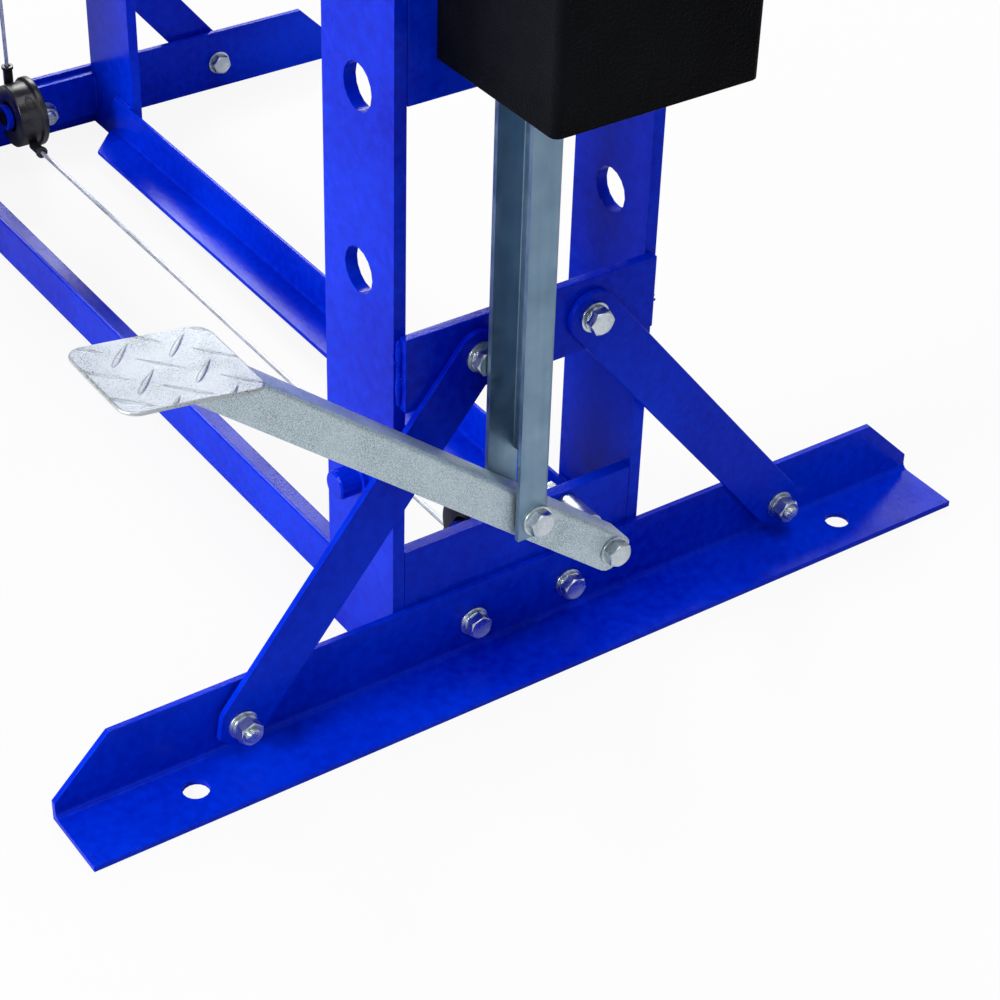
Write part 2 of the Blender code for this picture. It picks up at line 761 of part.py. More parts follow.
def low_plate(side, name):
    """Plate between the feet of two posts, flush with their outer edges, with the pulley's two cheeks.

    The left one stays below the top of the foot's upright leg.
    """
    middle_x = side * (POST_OUTER_X - LOW_PLATE_THICKNESS / 2)
    height = LOW_PLATE_HEIGHT if side > 0 else LEFT_LOW_PLATE_HEIGHT
    middle_z = LOW_PLATE_BOTTOM + height / 2
    plate = box_mesh((LOW_PLATE_THICKNESS, BAY_DEPTH - 2 * SEAT, height))
    meshes = [copies_mesh(plate, [Matrix.Translation((middle_x, 0, middle_z))])]
    offset = GUARD_WIDTH / 2 + SEAT + BRACKET_THICKNESS / 2
    for end in (1, -1):
        placing = Matrix.Translation((0, end * offset, 0)) @ FACING_FRONT
        meshes.append(copies_mesh(pulley_cheek(side), [placing]))
    piece = keep(name, joined_mesh(meshes), blue_paint())
    wall = LOW_PLATE_THICKNESS + 2 * OVERRUN
    spots = [(y, FOOT_BOLT_HEIGHT) for y in (FOOT_BOLT_SPACING / 2, -FOOT_BOLT_SPACING / 2)]
    if side > 0:
        spots.append((LEVER_PIVOT_Y, LEVER_PIVOT_Z))
    rods = [((middle_x, y, z), bolt_hole(BOLT_DIAMETER), wall) for y, z in spots]
    return cut(piece, rods_mesh(rods, (1, 0, 0), SMALL_STEPS))


def pulley_cheek(side):
    """Cheek from the lower plate out to the pulley's axle, seen from the front."""
    eye = (side * LOW_PULLEY_X, LOW_PULLEY_HEIGHT)
    root = side * (POST_OUTER_X - LOW_PLATE_THICKNESS / 2)
    radius = BRACKET_EYE_DIAMETER / 2
    top = BRACKET_FOOT_BOTTOM + (BRACKET_FOOT_HEIGHT if side > 0 else LEFT_BRACKET_FOOT_HEIGHT)
    end = math.pi / 2 + side * math.pi
    outline = [(root, BRACKET_FOOT_BOTTOM), (root, top), *arc(radius, eye, math.pi / 2, end, SMALL_STEPS // 2)]
    hole = circle(bolt_hole(PULLEY_AXLE_DIAMETER), eye, SMALL_STEPS)
    return flat_mesh(outline, BRACKET_THICKNESS, [hole])


def mid_plate(side, name):
    """Plate lapped on the outer edges of two posts, with the braces' upper bolts."""
    middle = MID_PLATE_BOTTOM + MID_PLATE_HEIGHT / 2
    holes = [
        circle(bolt_hole(BOLT_DIAMETER), (y, BRACE_TOP_HEIGHT - middle), SMALL_STEPS)
        for y in (BRACE_TOP_SPACING / 2, -BRACE_TOP_SPACING / 2)
    ]
    mesh = flat_mesh(rectangle(MID_PLATE_WIDTH, MID_PLATE_HEIGHT), MID_PLATE_THICKNESS, holes)
    return keep(name, mesh, blue_paint(), (side * MID_PLATE_X, 0, middle), FACING_X)


def brace(side, end, name):
    """Flat brace from a foot's upright leg to the middle plate."""
    foot_end = (end * BRACE_FOOT_SPACING / 2, BRACE_FOOT_HEIGHT)
    top_end = (end * BRACE_TOP_SPACING / 2, BRACE_TOP_HEIGHT)
    half = BRACE_WIDTH / 2
    outline = link_outline(foot_end, top_end, half, half, BRACE_FOOT_END_STEPS, SMALL_STEPS)
    holes = [circle(bolt_hole(BOLT_DIAMETER), spot, SMALL_STEPS) for spot in (foot_end, top_end)]
    mesh = flat_mesh(outline, BRACE_THICKNESS, holes)
    return keep(name, mesh, blue_paint(), (side * (BRACE_INNER_X + BRACE_THICKNESS / 2), 0, 0), FACING_X)


def rail(end, name):
    """Angle iron rail, its upright leg on the posts' inner faces and its flat leg inwards at the bottom."""
    outline = angle_outline(RAIL_LEG, RAIL_THICKNESS, RAIL_ROOT_RADIUS, -end)
    mesh = flat_mesh(outline, RAIL_LENGTH)
    piece = keep(name, mesh, blue_paint(), (0, end * (POST_INNER_Y - SEAT), RAIL_BOTTOM), FACING_X)
    placings = [
        Matrix.Translation((0, 0, RAIL_BOTTOM)) @ Matrix.Diagonal((side, end, 1, 1)) for side in (1, -1)
    ]
    return cut(piece, copies_mesh(rail_cope(), placings))


def rail_cope():
    """Prism that slopes one end of a rail's flat leg, seen from above."""
    root = POST_INNER_Y - SEAT - RAIL_THICKNESS - RAIL_ROOT_RADIUS
    tip = POST_INNER_Y - SEAT - RAIL_LEG - OVERRUN
    beyond, inner = RAIL_LENGTH / 2 + OVERRUN, RAIL_LENGTH / 2 - RAIL_COPE
    return flat_mesh([(inner, tip), (beyond, tip), (beyond, root)], 2 * (RAIL_THICKNESS + OVERRUN))


def peg():
    """Stud with a collar on the front right post."""
    face = -POST_OUTER_Y - SEAT
    collar, pin = PEG_COLLAR_DIAMETER / 2, PEG_DIAMETER / 2
    profile = [
        (0, PEG_LENGTH), (pin - PEG_CHAMFER, PEG_LENGTH), (pin, PEG_LENGTH - PEG_CHAMFER),
        (pin, PEG_COLLAR_THICKNESS), (collar, PEG_COLLAR_THICKNESS - (collar - pin) / 2), (collar, 0), (0, 0),
    ]
    return smooth(turned("post_peg", profile, blue_paint(), (POST_X, face, PEG_HEIGHT), FACING_FRONT))


# Head, cylinder and ram

def channel_outline(height, width, web, flange, side):
    """Section of a channel with its web's outer face on the origin and its flanges along side."""
    half = height / 2
    points = [
        (0, -half), (width, -half), (width, -half + flange), (web, -half + flange),
        (web, half - flange), (width, half - flange), (width, half), (0, half),
    ]
    return [(side * across, up) for across, up in points]


def head_beam(end, name):
    """Channel of the head, its web on the posts' inner faces and its flanges inwards."""
    outline = channel_outline(HEAD_BEAM_HEIGHT, HEAD_FLANGE_WIDTH, HEAD_WEB_THICKNESS, HEAD_FLANGE_THICKNESS, -end)
    mesh = flat_mesh(outline, 2 * POST_OUTER_X)
    spot = (0, end * (POST_INNER_Y - SEAT), HEAD_BOTTOM + HEAD_BEAM_HEIGHT / 2)
    piece = keep(name, mesh, blue_paint(), spot, FACING_X)
    web_y = end * (POST_INNER_Y - SEAT - HEAD_WEB_THICKNESS / 2)
    wall = HEAD_WEB_THICKNESS + 2 * OVERRUN
    rods = [
        ((side * POST_X, web_y, height), bolt_hole(HEAD_BOLT_DIAMETER), wall)
        for side in (1, -1) for height in HEAD_BOLT_HEIGHTS
    ]
    rods += [((x, web_y, HIGH_PULLEY_HEIGHT), bolt_hole(PULLEY_AXLE_DIAMETER), wall) for x in high_pulleys()]
    return cut(piece, rods_mesh(rods, (0, 1, 0), SMALL_STEPS))


def high_pulleys():
    """Positions across the press of the two pulleys in the head."""
    return (RIGHT_PULLEY_X, -LEFT_PULLEY_X)


def head_seat_plate(bottom):
    """Square plate under the beams' flanges, bored for the cylinder."""
    width = 2 * (POST_INNER_Y - SEAT - SEAT)
    outline = rectangle(SEAT_PLATE_WIDTH, width)
    hole = circle(CYLINDER_DIAMETER / 2 + SEAT, steps=2 * ROUND_STEPS)
    mesh = flat_mesh(outline, SEAT_PLATE_THICKNESS, [hole])
    return keep("head_seat_plate", mesh, blue_paint(), (0, 0, bottom + SEAT_PLATE_THICKNESS / 2))


def cylinder_and_ram():
    """Cylinder body hung in the head, its ram and the ram's nose."""
    seat_bottom = HEAD_BOTTOM - SEAT - SEAT_PLATE_THICKNESS
    head_seat_plate(seat_bottom)
    collar_top = seat_bottom - SEAT
    collar_bottom = collar_top - COLLAR_HEIGHT
    wall, bore = CYLINDER_DIAMETER / 2, RAM_DIAMETER / 2 + RUNNING_FIT
    bore_top = CYLINDER_TOP - CYLINDER_CAP_THICKNESS
    profile = [
        (0, CYLINDER_TOP), (wall - CYLINDER_EDGE, CYLINDER_TOP), (wall, CYLINDER_TOP - CYLINDER_EDGE),
        (wall, collar_top), (COLLAR_DIAMETER / 2, collar_top), (COLLAR_DIAMETER / 2, collar_bottom + CYLINDER_EDGE),
        (COLLAR_DIAMETER / 2 - CYLINDER_EDGE, collar_bottom), (bore, collar_bottom), (bore, bore_top), (0, bore_top),
    ]
    profile = [(radius, height - collar_bottom) for radius, height in profile]
    smooth(turned("cylinder_body", profile, black_paint(), (0, 0, collar_bottom), steps=2 * ROUND_STEPS))
    nose_top = RAM_NOSE_BOTTOM + RAM_NOSE_HEIGHT
    ram_length = bore_top - RAM_TOP_GAP - nose_top - SEAT
    ram = [
        (0, ram_length), (RAM_DIAMETER / 2 - CYLINDER_EDGE, ram_length), (RAM_DIAMETER / 2, ram_length - CYLINDER_EDGE),
        (RAM_DIAMETER / 2, 0), (0, 0),
    ]
    smooth(turned("ram", ram, hard_chrome(), (0, 0, nose_top + SEAT), steps=2 * ROUND_STEPS))
    wide = RAM_NOSE_DIAMETER / 2
    nose = [
        (0, RAM_NOSE_HEIGHT), (wide, RAM_NOSE_HEIGHT), (wide, CYLINDER_EDGE), (wide - CYLINDER_EDGE, 0), (0, 0),
    ]
    smooth(turned("ram_nose", nose, machined_steel(), (0, 0, RAM_NOSE_BOTTOM)))


# Bed

def bed_frame():
    """Welded bed: two channels with their flanges outwards, two spacers and two bars for the ropes."""
    width = BED_SLOT + BED_WEB_THICKNESS
    height = BED_HEIGHT - 2 * BED_SPACER_MARGIN
    middle = BED_BOTTOM + BED_HEIGHT / 2
    meshes = []
    for end in (1, -1):
        outline = channel_outline(BED_HEIGHT, BED_FLANGE_WIDTH, BED_WEB_THICKNESS, BED_FLANGE_THICKNESS, end)
        placing = Matrix.Translation((0, end * BED_SLOT / 2, middle)) @ FACING_X
        meshes.append(copies_mesh(flat_mesh(outline, BED_LENGTH), [placing]))
    for side in (1, -1):
        placing = Matrix.Translation((side * BED_SPACER_OFFSET, 0, middle))
        meshes.append(copies_mesh(box_mesh((BED_SPACER_THICKNESS, width, height)), [placing]))
    for x in (RIGHT_DROP_X, -LEFT_DROP_X):
        bar = ((x, 0, LIFT_BAR_HEIGHT), LIFT_BAR_DIAMETER / 2, width)
        meshes.append(rods_mesh([bar], (0, 1, 0), SMALL_STEPS))
    return keep("bed_frame", joined_mesh(meshes), blue_paint())


def support_block(side, name):
    """Loose steel block on the bed with a notch for round work."""
    half, notch = BLOCK_LENGTH / 2, BLOCK_NOTCH_WIDTH / 2
    outline = [
        (-half, 0), (half, 0), (half, BLOCK_HEIGHT), (notch, BLOCK_HEIGHT),
        (0, BLOCK_HEIGHT - BLOCK_NOTCH_DEPTH), (-notch, BLOCK_HEIGHT), (-half, BLOCK_HEIGHT),
    ]
    mesh = flat_mesh(outline, BLOCK_WIDTH)
    return keep(name, mesh, machined_steel(), (side * BLOCK_OFFSET, 0, BED_TOP + SEAT), FACING_X)


def bed_pin(side, name):
    """Pin under the bed through the front and rear posts, with a collar and a knob at the front."""
    front = -POST_OUTER_Y - SEAT
    length = 2 * POST_OUTER_Y + SEAT + PIN_TAIL
    radius, collar, grip = PIN_DIAMETER / 2, PIN_COLLAR_DIAMETER / 2, PIN_GRIP_DIAMETER / 2
    grip_top = PIN_COLLAR_THICKNESS + PIN_GRIP_LENGTH
    profile = [
        (0, grip_top), (grip - PIN_CHAMFER, grip_top), (grip, grip_top - PIN_CHAMFER), (grip, PIN_COLLAR_THICKNESS),
        (collar, PIN_COLLAR_THICKNESS), (collar, 0), (radius, 0), (radius, -length + PIN_CHAMFER),
        (radius - PIN_CHAMFER, -length), (0, -length),
    ]
    return smooth(turned(name, profile, bright_zinc(), (side * POST_X, front, BED_PIN_HEIGHT), FACING_FRONT))


# Rope, pulleys and guards

def pulley_profile(groove_radius):
    """Closed section of a grooved wheel with a wider hub; the rope's centre runs at groove_radius."""
    bottom = groove_radius * math.cos(math.pi / LOOP_STEPS) - ROPE_DIAMETER / 2 - SEAT
    lip = groove_radius + PULLEY_LIP
    half, hub = PULLEY_WIDTH / 2, PULLEY_HUB_WIDTH / 2
    groove = ROPE_DIAMETER / 2 + SEAT
    bore, boss = turning_bore(PULLEY_AXLE_DIAMETER), PULLEY_HUB_DIAMETER / 2
    return [
        (bore, hub), (boss, hub), (boss, half), (lip, half), (bottom, groove), (bottom, -groove),
        (lip, -half), (boss, -half), (boss, -hub), (bore, -hub),
    ]


def pulley(name, x, height, radius):
    """A grooved wheel on an axle along Y."""
    return smooth(turned(name, pulley_profile(radius), machined_steel(), (x, 0, height), FACING_FRONT, closed=True))


def pulley_guard(side, name):
    """Plastic drum round a lower pulley, with a flange ring at the back and two rope nozzles."""
    outer, half = GUARD_DIAMETER / 2, GUARD_WIDTH / 2
    inner, ring = outer - GUARD_WALL, GUARD_RING_DIAMETER / 2
    eye = GUARD_EYE_DIAMETER / 2
    profile = [
        (eye, half), (outer, half), (outer, -half + GUARD_RING_WIDTH), (ring, -half + GUARD_RING_WIDTH), (ring, -half),
        (eye, -half), (eye, -half + GUARD_WALL), (inner, -half + GUARD_WALL), (inner, half - GUARD_WALL),
        (eye, half - GUARD_WALL),
    ]
    spot = (side * LOW_PULLEY_X, 0, LOW_PULLEY_HEIGHT)
    piece = turned(name, profile, black_plastic(), spot, FACING_FRONT, closed=True)
    reach = outer + GUARD_NOZZLE_LENGTH
    low = Vector((side * (LOW_PULLEY_X), 0, LOW_PULLEY_HEIGHT - LOW_PULLEY_RADIUS))
    high = Vector((side * (LOW_PULLEY_X + LOW_PULLEY_RADIUS), 0, LOW_PULLEY_HEIGHT))
    low_mid, high_mid = low - Vector((side * reach / 2, 0, 0)), high + Vector((0, 0, reach / 2))
    nozzle, bore = GUARD_NOZZLE_DIAMETER / 2, GUARD_NOZZLE_BORE / 2
    nozzle_length = reach - math.sqrt(inner ** 2 - LOW_PULLEY_RADIUS ** 2)
    low_nozzle = low - Vector((side * (reach - nozzle_length / 2), 0, 0))
    high_nozzle = high + Vector((0, 0, reach - nozzle_length / 2))
    cut(piece, rods_mesh([(low_nozzle, nozzle, nozzle_length)], (1, 0, 0), SMALL_STEPS), "UNION")
    cut(piece, rods_mesh([(high_nozzle, nozzle, nozzle_length)], (0, 0, 1), SMALL_STEPS), "UNION")
    span = reach + 2 * OVERRUN
    cut(piece, rods_mesh([(low_mid - Vector((side * OVERRUN, 0, 0)), bore, span)], (1, 0, 0), SMALL_STEPS))
    cut(piece, rods_mesh([(high_mid + Vector((0, 0, OVERRUN)), bore, span)], (0, 0, 1), SMALL_STEPS))
    return smooth(piece)


def pulley_axle(name, x, height, depth, facing):
    """Bolt along Y through a pulley and the plates on both sides of it, which reach out to depth."""
    bolt = bolt_mesh(2 * depth, PULLEY_AXLE_DIAMETER, AXLE_FLATS, BOLT_HEAD_HEIGHT, NUT_HEIGHT, AXLE_WASHER_DIAMETER)
    mesh = copies_mesh(bolt, [along_y(depth, 0, 0, facing)])
    return keep(name, mesh, bright_zinc(), (x, 0, height))


def low_axle(side, name):
    """Plain pin through a lower pulley and its two cheeks."""
    end = GUARD_WIDTH / 2 + SEAT + BRACKET_THICKNESS + LOW_AXLE_STAND_OUT
    pin = PULLEY_AXLE_DIAMETER / 2
    edge = (pin - LOW_AXLE_CHAMFER, end)
    profile = [(0, end), edge, (pin, end - LOW_AXLE_CHAMFER), (pin, LOW_AXLE_CHAMFER - end), (edge[0], -end), (0, -end)]
    spot = (side * LOW_PULLEY_X, 0, LOW_PULLEY_HEIGHT)
    return smooth(turned(name, profile, black_paint(), spot, FACING_FRONT))


def half_loop(x, height, radius, start, end, steps):
    """Points of the rope over a pulley, in the XZ plane."""
    return [(px, 0, pz) for px, pz in arc(radius, (x, height), start, end, steps)]


def drum_loops(direction, start_angle, y_start):
    """Turns of rope round the drum, from the tail to the point where it leaves at start_angle."""
    count = DRUM_TURNS * LOOP_STEPS
    points = []
    for step in range(count + 1):
        back = count - step
        angle = start_angle + direction * math.tau * back / LOOP_STEPS
        y = y_start + math.copysign(DRUM_TURN_SPACING, y_start) * back / LOOP_STEPS
        x = -DRUM_X + DRUM_RADIUS * math.cos(angle)
        points.append((x, y, WINCH_HEIGHT + DRUM_RADIUS * math.sin(angle)))
    return points


def least_gap(points):
    """Least distance between turns of a tube, less its own width."""
    spots = [Vector(point) for point in points]
    skip = LOOP_STEPS // 2
    gaps = [(a - b).length for i, a in enumerate(spots) for b in spots[i + skip:]]
    return min(gaps) - ROPE_DIAMETER


def ropes():
    """Lift ropes: one under the press to the right of the bed, one over the head to its left."""
    quarter = math.pi / 2
    first = drum_loops(-1, 0, -DRUM_TURN_SPACING / 2)
    second = drum_loops(-1, math.pi, DRUM_TURN_SPACING / 2)
    right_x, left_x = LOW_PULLEY_X, -LOW_PULLEY_X
    radius, low = LOW_PULLEY_RADIUS, LOW_PULLEY_HEIGHT
    first += half_loop(left_x, low, radius, 2 * quarter, 3 * quarter, LOOP_STEPS // 3)
    first += half_loop(right_x, low, radius, 3 * quarter, 4 * quarter, LOOP_STEPS // 3)
    first += half_loop(RIGHT_PULLEY_X, HIGH_PULLEY_HEIGHT, radius, 0, 2 * quarter, LOOP_STEPS // 2)
    second += half_loop(-LEFT_PULLEY_X, HIGH_PULLEY_HEIGHT, LEFT_PULLEY_RADIUS, 2 * quarter, 0, LOOP_STEPS // 2)
    print("least gap between the rope's turns on the drum in mm:", 1000 * least_gap(first[:DRUM_TURNS * LOOP_STEPS]))
    smooth(keep("rope_under", tube_mesh(first, ROPE_DIAMETER / 2, 1), rope_steel()))
    smooth(keep("rope_over", tube_mesh(second, ROPE_DIAMETER / 2, 1), rope_steel()))
    bottom = LIFT_BAR_HEIGHT + LIFT_BAR_DIAMETER / 2 + 2 * SEAT
    top = HIGH_PULLEY_HEIGHT - SEAT
    for name, x in (("rope_drop_right", RIGHT_DROP_X), ("rope_drop_left", -LEFT_DROP_X)):
        mesh = tube_mesh([(0, 0, bottom - top), (0, 0, 0)], ROPE_DIAMETER / 2, 1)
        smooth(keep(name, mesh, rope_steel(), (x, 0, top)))


# Pump side

def pump_plate():
    """Plate between the right posts that carries the pump, with a bearing boss for the rocker's shaft."""
    middle = Vector((POST_OUTER_X - PUMP_PLATE_THICKNESS / 2, 0, PUMP_PLATE_BOTTOM + PUMP_PLATE_HEIGHT / 2))
    plate = box_mesh((PUMP_PLATE_THICKNESS, BAY_DEPTH - 2 * SEAT, PUMP_PLATE_HEIGHT))
    plate = copies_mesh(plate, [Matrix.Translation(middle)])
    start, end = middle.x, POST_OUTER_X + BUSH_LENGTH
    boss = ((start + end) / 2, ROCKER_PIVOT_Y, ROCKER_PIVOT_Z)
    mesh = joined_mesh([plate, rods_mesh([(boss, BUSH_DIAMETER / 2, end - start)], (1, 0, 0))])
    piece = keep("pump_mounting_plate", mesh, blue_paint())
    bore = ((end, ROCKER_PIVOT_Y, ROCKER_PIVOT_Z), turning_bore(ROCKER_SHAFT_DIAMETER), 2 * BUSH_LENGTH - 2 * SEAT)
    return cut(piece, rods_mesh([bore], (1, 0, 0)))


def box_section(width, depth, radius):
    """Outline of the bent sheet box seen from above, its back on the origin and open side left square."""
    half = width / 2
    points = [(0, -half)]
    points += arc(radius, (depth - radius, -half + radius), -math.pi / 2, 0, FILLET_STEPS)
    points += arc(radius, (depth - radius, half - radius), 0, math.pi / 2, FILLET_STEPS)
    return points + [(0, half)]


def pump_box():
    """Sheet metal box over the pump, open at the bottom and towards its plate."""
    outer = flat_mesh(box_section(BOX_WIDTH, BOX_DEPTH, BOX_BEND_RADIUS), BOX_HEIGHT)
    spot = (BOX_INNER_X, 0, BOX_BOTTOM + BOX_HEIGHT / 2)
    piece = keep("pump_box", outer, black_paint(), spot)
    inner_radius = BOX_BEND_RADIUS - BOX_WALL
    section = box_section(BOX_WIDTH - 2 * BOX_WALL, BOX_DEPTH - BOX_WALL + OVERRUN, inner_radius)
    hollow = flat_mesh(section, BOX_HEIGHT - BOX_WALL + OVERRUN)
    low = (BOX_HEIGHT - BOX_WALL + OVERRUN) / 2 - OVERRUN
    placing = Matrix.Translation((BOX_INNER_X - OVERRUN, 0, BOX_BOTTOM + low))
    cut(piece, copies_mesh(hollow, [placing]))
    bush = ((BOX_OUTER_X - BOX_WALL / 2, ROCKER_PIVOT_Y, ROCKER_PIVOT_Z), OUTER_BUSH_DIAMETER / 2, OUTER_BUSH_LENGTH)
    cut(piece, rods_mesh([bush], (1, 0, 0)), "UNION")
    shaft_hole = (bush[0], turning_bore(ROCKER_SHAFT_DIAMETER), 2 * OUTER_BUSH_LENGTH)
    cut(piece, rods_mesh([shaft_hole], (1, 0, 0)))
    knob_hole = ((KNOB_X, -BOX_WIDTH / 2, KNOB_HEIGHT), KNOB_STEM_DIAMETER / 2 + SEAT, 2 * OVERRUN)
    cut(piece, rods_mesh([knob_hole], (0, 1, 0), SMALL_STEPS))
    pipe_hole = ((PIPE_X, PIPE_Y, BOX_TOP), PIPE_DIAMETER / 2 + SEAT, 2 * OVERRUN)
    cut(piece, rods_mesh([pipe_hole], (0, 0, 1), SMALL_STEPS))
    return smooth(piece)


def pump_block():
    """Block with the pump's bore, bolted to the plate inside the box."""
    plunger_y = ROCKER_PIVOT_Y + ROCKER_TAIL_REACH
    bottom = ROCKER_PIVOT_Z + ROCKER_TAIL_RADIUS + BLOCK_BASE_GAP
    width = LEVER_CENTRE_X + BLOCK_BEHIND + PLUNGER_DIAMETER / 2 - BOX_INNER_X
    size = (width, 2 * BLOCK_WALL, PUMP_BLOCK_HEIGHT)
    middle = Vector((BOX_INNER_X + width / 2, plunger_y, bottom + PUMP_BLOCK_HEIGHT / 2))
    piece = keep("pump_block", box_mesh(size), machined_steel(), middle)
    bore = PLUNGER_DIAMETER / 2 + RUNNING_FIT
    depth = PUMP_BLOCK_HEIGHT - BLOCK_WALL
    hole = ((LEVER_CENTRE_X, plunger_y, bottom + depth / 2 - OVERRUN), bore, depth + 2 * OVERRUN)
    return cut(piece, rods_mesh([hole], (0, 0, 1)))


def plunger():
    """Plunger that the rocker's tail lifts."""
    radius = PLUNGER_DIAMETER / 2
    spot = (LEVER_CENTRE_X, ROCKER_PIVOT_Y + ROCKER_TAIL_REACH, ROCKER_PIVOT_Z + ROCKER_TAIL_RADIUS + PLUNGER_GAP)
    profile = [(0, PLUNGER_LENGTH), (radius, PLUNGER_LENGTH), (radius, 0), (0, 0)]
    return smooth(turned("pump_plunger", profile, hard_chrome(), spot))


def rocker():
    """Rocker with its through shaft and its front cross pin, made in place about the shaft's axis."""
    front = (ROD_BOLT_Y - ROCKER_PIVOT_Y, ROD_TOP_PIN_HEIGHT - ROCKER_PIVOT_Z)
    arm = link_outline((0, 0), front, ROCKER_HUB_RADIUS, ROCKER_FRONT_RADIUS, SMALL_STEPS, SMALL_STEPS)
    tail = link_outline((0, 0), (ROCKER_TAIL_REACH, 0), ROCKER_TAIL_RADIUS, ROCKER_TAIL_RADIUS, SMALL_STEPS, SMALL_STEPS)
    arm, tail = flat_mesh(arm, ROCKER_THICKNESS), flat_mesh(tail, ROCKER_THICKNESS - 2 * BUSH_FIT)
    arm, tail = (copies_mesh(mesh, [FACING_X]) for mesh in (arm, tail))
    start = POST_OUTER_X + SEAT - LEVER_CENTRE_X
    end = HANDLE_X + HANDLE_HUB_WIDTH / 2 - LEVER_CENTRE_X - SEAT
    shaft = rods_mesh([(((start + end) / 2, 0, 0), ROCKER_SHAFT_DIAMETER / 2, end - start)], (1, 0, 0))
    pin = rods_mesh([((0, *front), ROCKER_PIN_DIAMETER / 2, ROD_WIDTH)], (1, 0, 0), SMALL_STEPS)
    mesh = joined_mesh([arm, tail, shaft, pin])
    return smooth(keep("pump_rocker", mesh, machined_steel(), (LEVER_CENTRE_X, ROCKER_PIVOT_Y, ROCKER_PIVOT_Z)))


def hand_lever():
    """Hub and bar of the hand lever on the rocker's shaft, with its grip moulded on."""
    spot = (HANDLE_X, ROCKER_PIVOT_Y, ROCKER_PIVOT_Z)
    way = Vector((0, -math.sin(HANDLE_LEAN), math.cos(HANDLE_LEAN)))
    hub = rods_mesh([((0, 0, 0), HANDLE_HUB_DIAMETER / 2, HANDLE_HUB_WIDTH)], (1, 0, 0))
    start = HANDLE_HUB_DIAMETER / 4 + ROCKER_SHAFT_DIAMETER / 4
    reach = HANDLE_LENGTH - start
    bar = rods_mesh([(way * (start + reach / 2), HANDLE_DIAMETER / 2, reach)], way, SMALL_STEPS)
    grip_middle = way * (HANDLE_LENGTH - GRIP_LENGTH / 2 + GRIP_DIAMETER / 4)
    grip = rods_mesh([(grip_middle, GRIP_DIAMETER / 2, GRIP_LENGTH)], way)
    mesh = joined_mesh([hub, bar, grip])
    piece = keep("hand_lever", mesh, bright_zinc(), spot)
    bore = (spot, ROCKER_SHAFT_DIAMETER / 2 + SEAT, HANDLE_HUB_WIDTH + 2 * OVERRUN)
    cut(piece, rods_mesh([bore], (1, 0, 0)))
    smooth(piece)


def valve_knob():
    """Release valve knob with its stem through the front of the box."""
    stem, wide = KNOB_STEM_DIAMETER / 2, KNOB_DIAMETER / 2
    inner = -BOX_WALL - OVERRUN
    profile = [
        (0, KNOB_STEM_LENGTH + KNOB_THICKNESS), (wide - PIN_CHAMFER, KNOB_STEM_LENGTH + KNOB_THICKNESS),
        (wide, KNOB_STEM_LENGTH + KNOB_THICKNESS - PIN_CHAMFER), (wide, KNOB_STEM_LENGTH),
        (stem, KNOB_STEM_LENGTH), (stem, inner), (0, inner),
    ]
    spot = (KNOB_X, -BOX_WIDTH / 2, KNOB_HEIGHT)
    return smooth(turned("valve_knob", profile, black_plastic(), spot, FACING_FRONT, steps=SMALL_STEPS))


def channel_section(width, depth, wall, radius):
    """A bent channel seen along its length, its web on top at the origin and open downwards."""
    half, inner = width / 2, max(radius - wall, wall / 4)
    points = [(-half, -depth)]
    points += arc(radius, (-half + radius, -radius), math.pi, math.pi / 2, FILLET_STEPS)
    points += arc(radius, (half - radius, -radius), math.pi / 2, 0, FILLET_STEPS)
    points += [(half, -depth), (half - wall, -depth)]
    points += arc(inner, (half - wall - inner, -wall - inner), 0, math.pi / 2, FILLET_STEPS)
    points += arc(inner, (-half + wall + inner, -wall - inner), math.pi / 2, math.pi, FILLET_STEPS)
    return points + [(-half + wall, -depth)]


def lever_point(along, lift):
    """World Y and Z of a spot on the foot lever, along it from its pivot and up across it."""
    y = LEVER_PIVOT_Y - along * math.cos(LEVER_ANGLE) + lift * math.sin(LEVER_ANGLE)
    z = LEVER_PIVOT_Z + along * math.sin(LEVER_ANGLE) + lift * math.cos(LEVER_ANGLE)
    return y, z


def pedal_underside():
    """A spot of the pedal plate's underside and its direction towards the front, in Y and Z."""
    ahead = (-math.cos(PEDAL_TILT), math.sin(PEDAL_TILT))
    drop = PEDAL_THICKNESS / 2 + SEAT
    return (PEDAL_CENTRE_Y - drop * ahead[1], PEDAL_CENTRE_Z + drop * ahead[0]), ahead


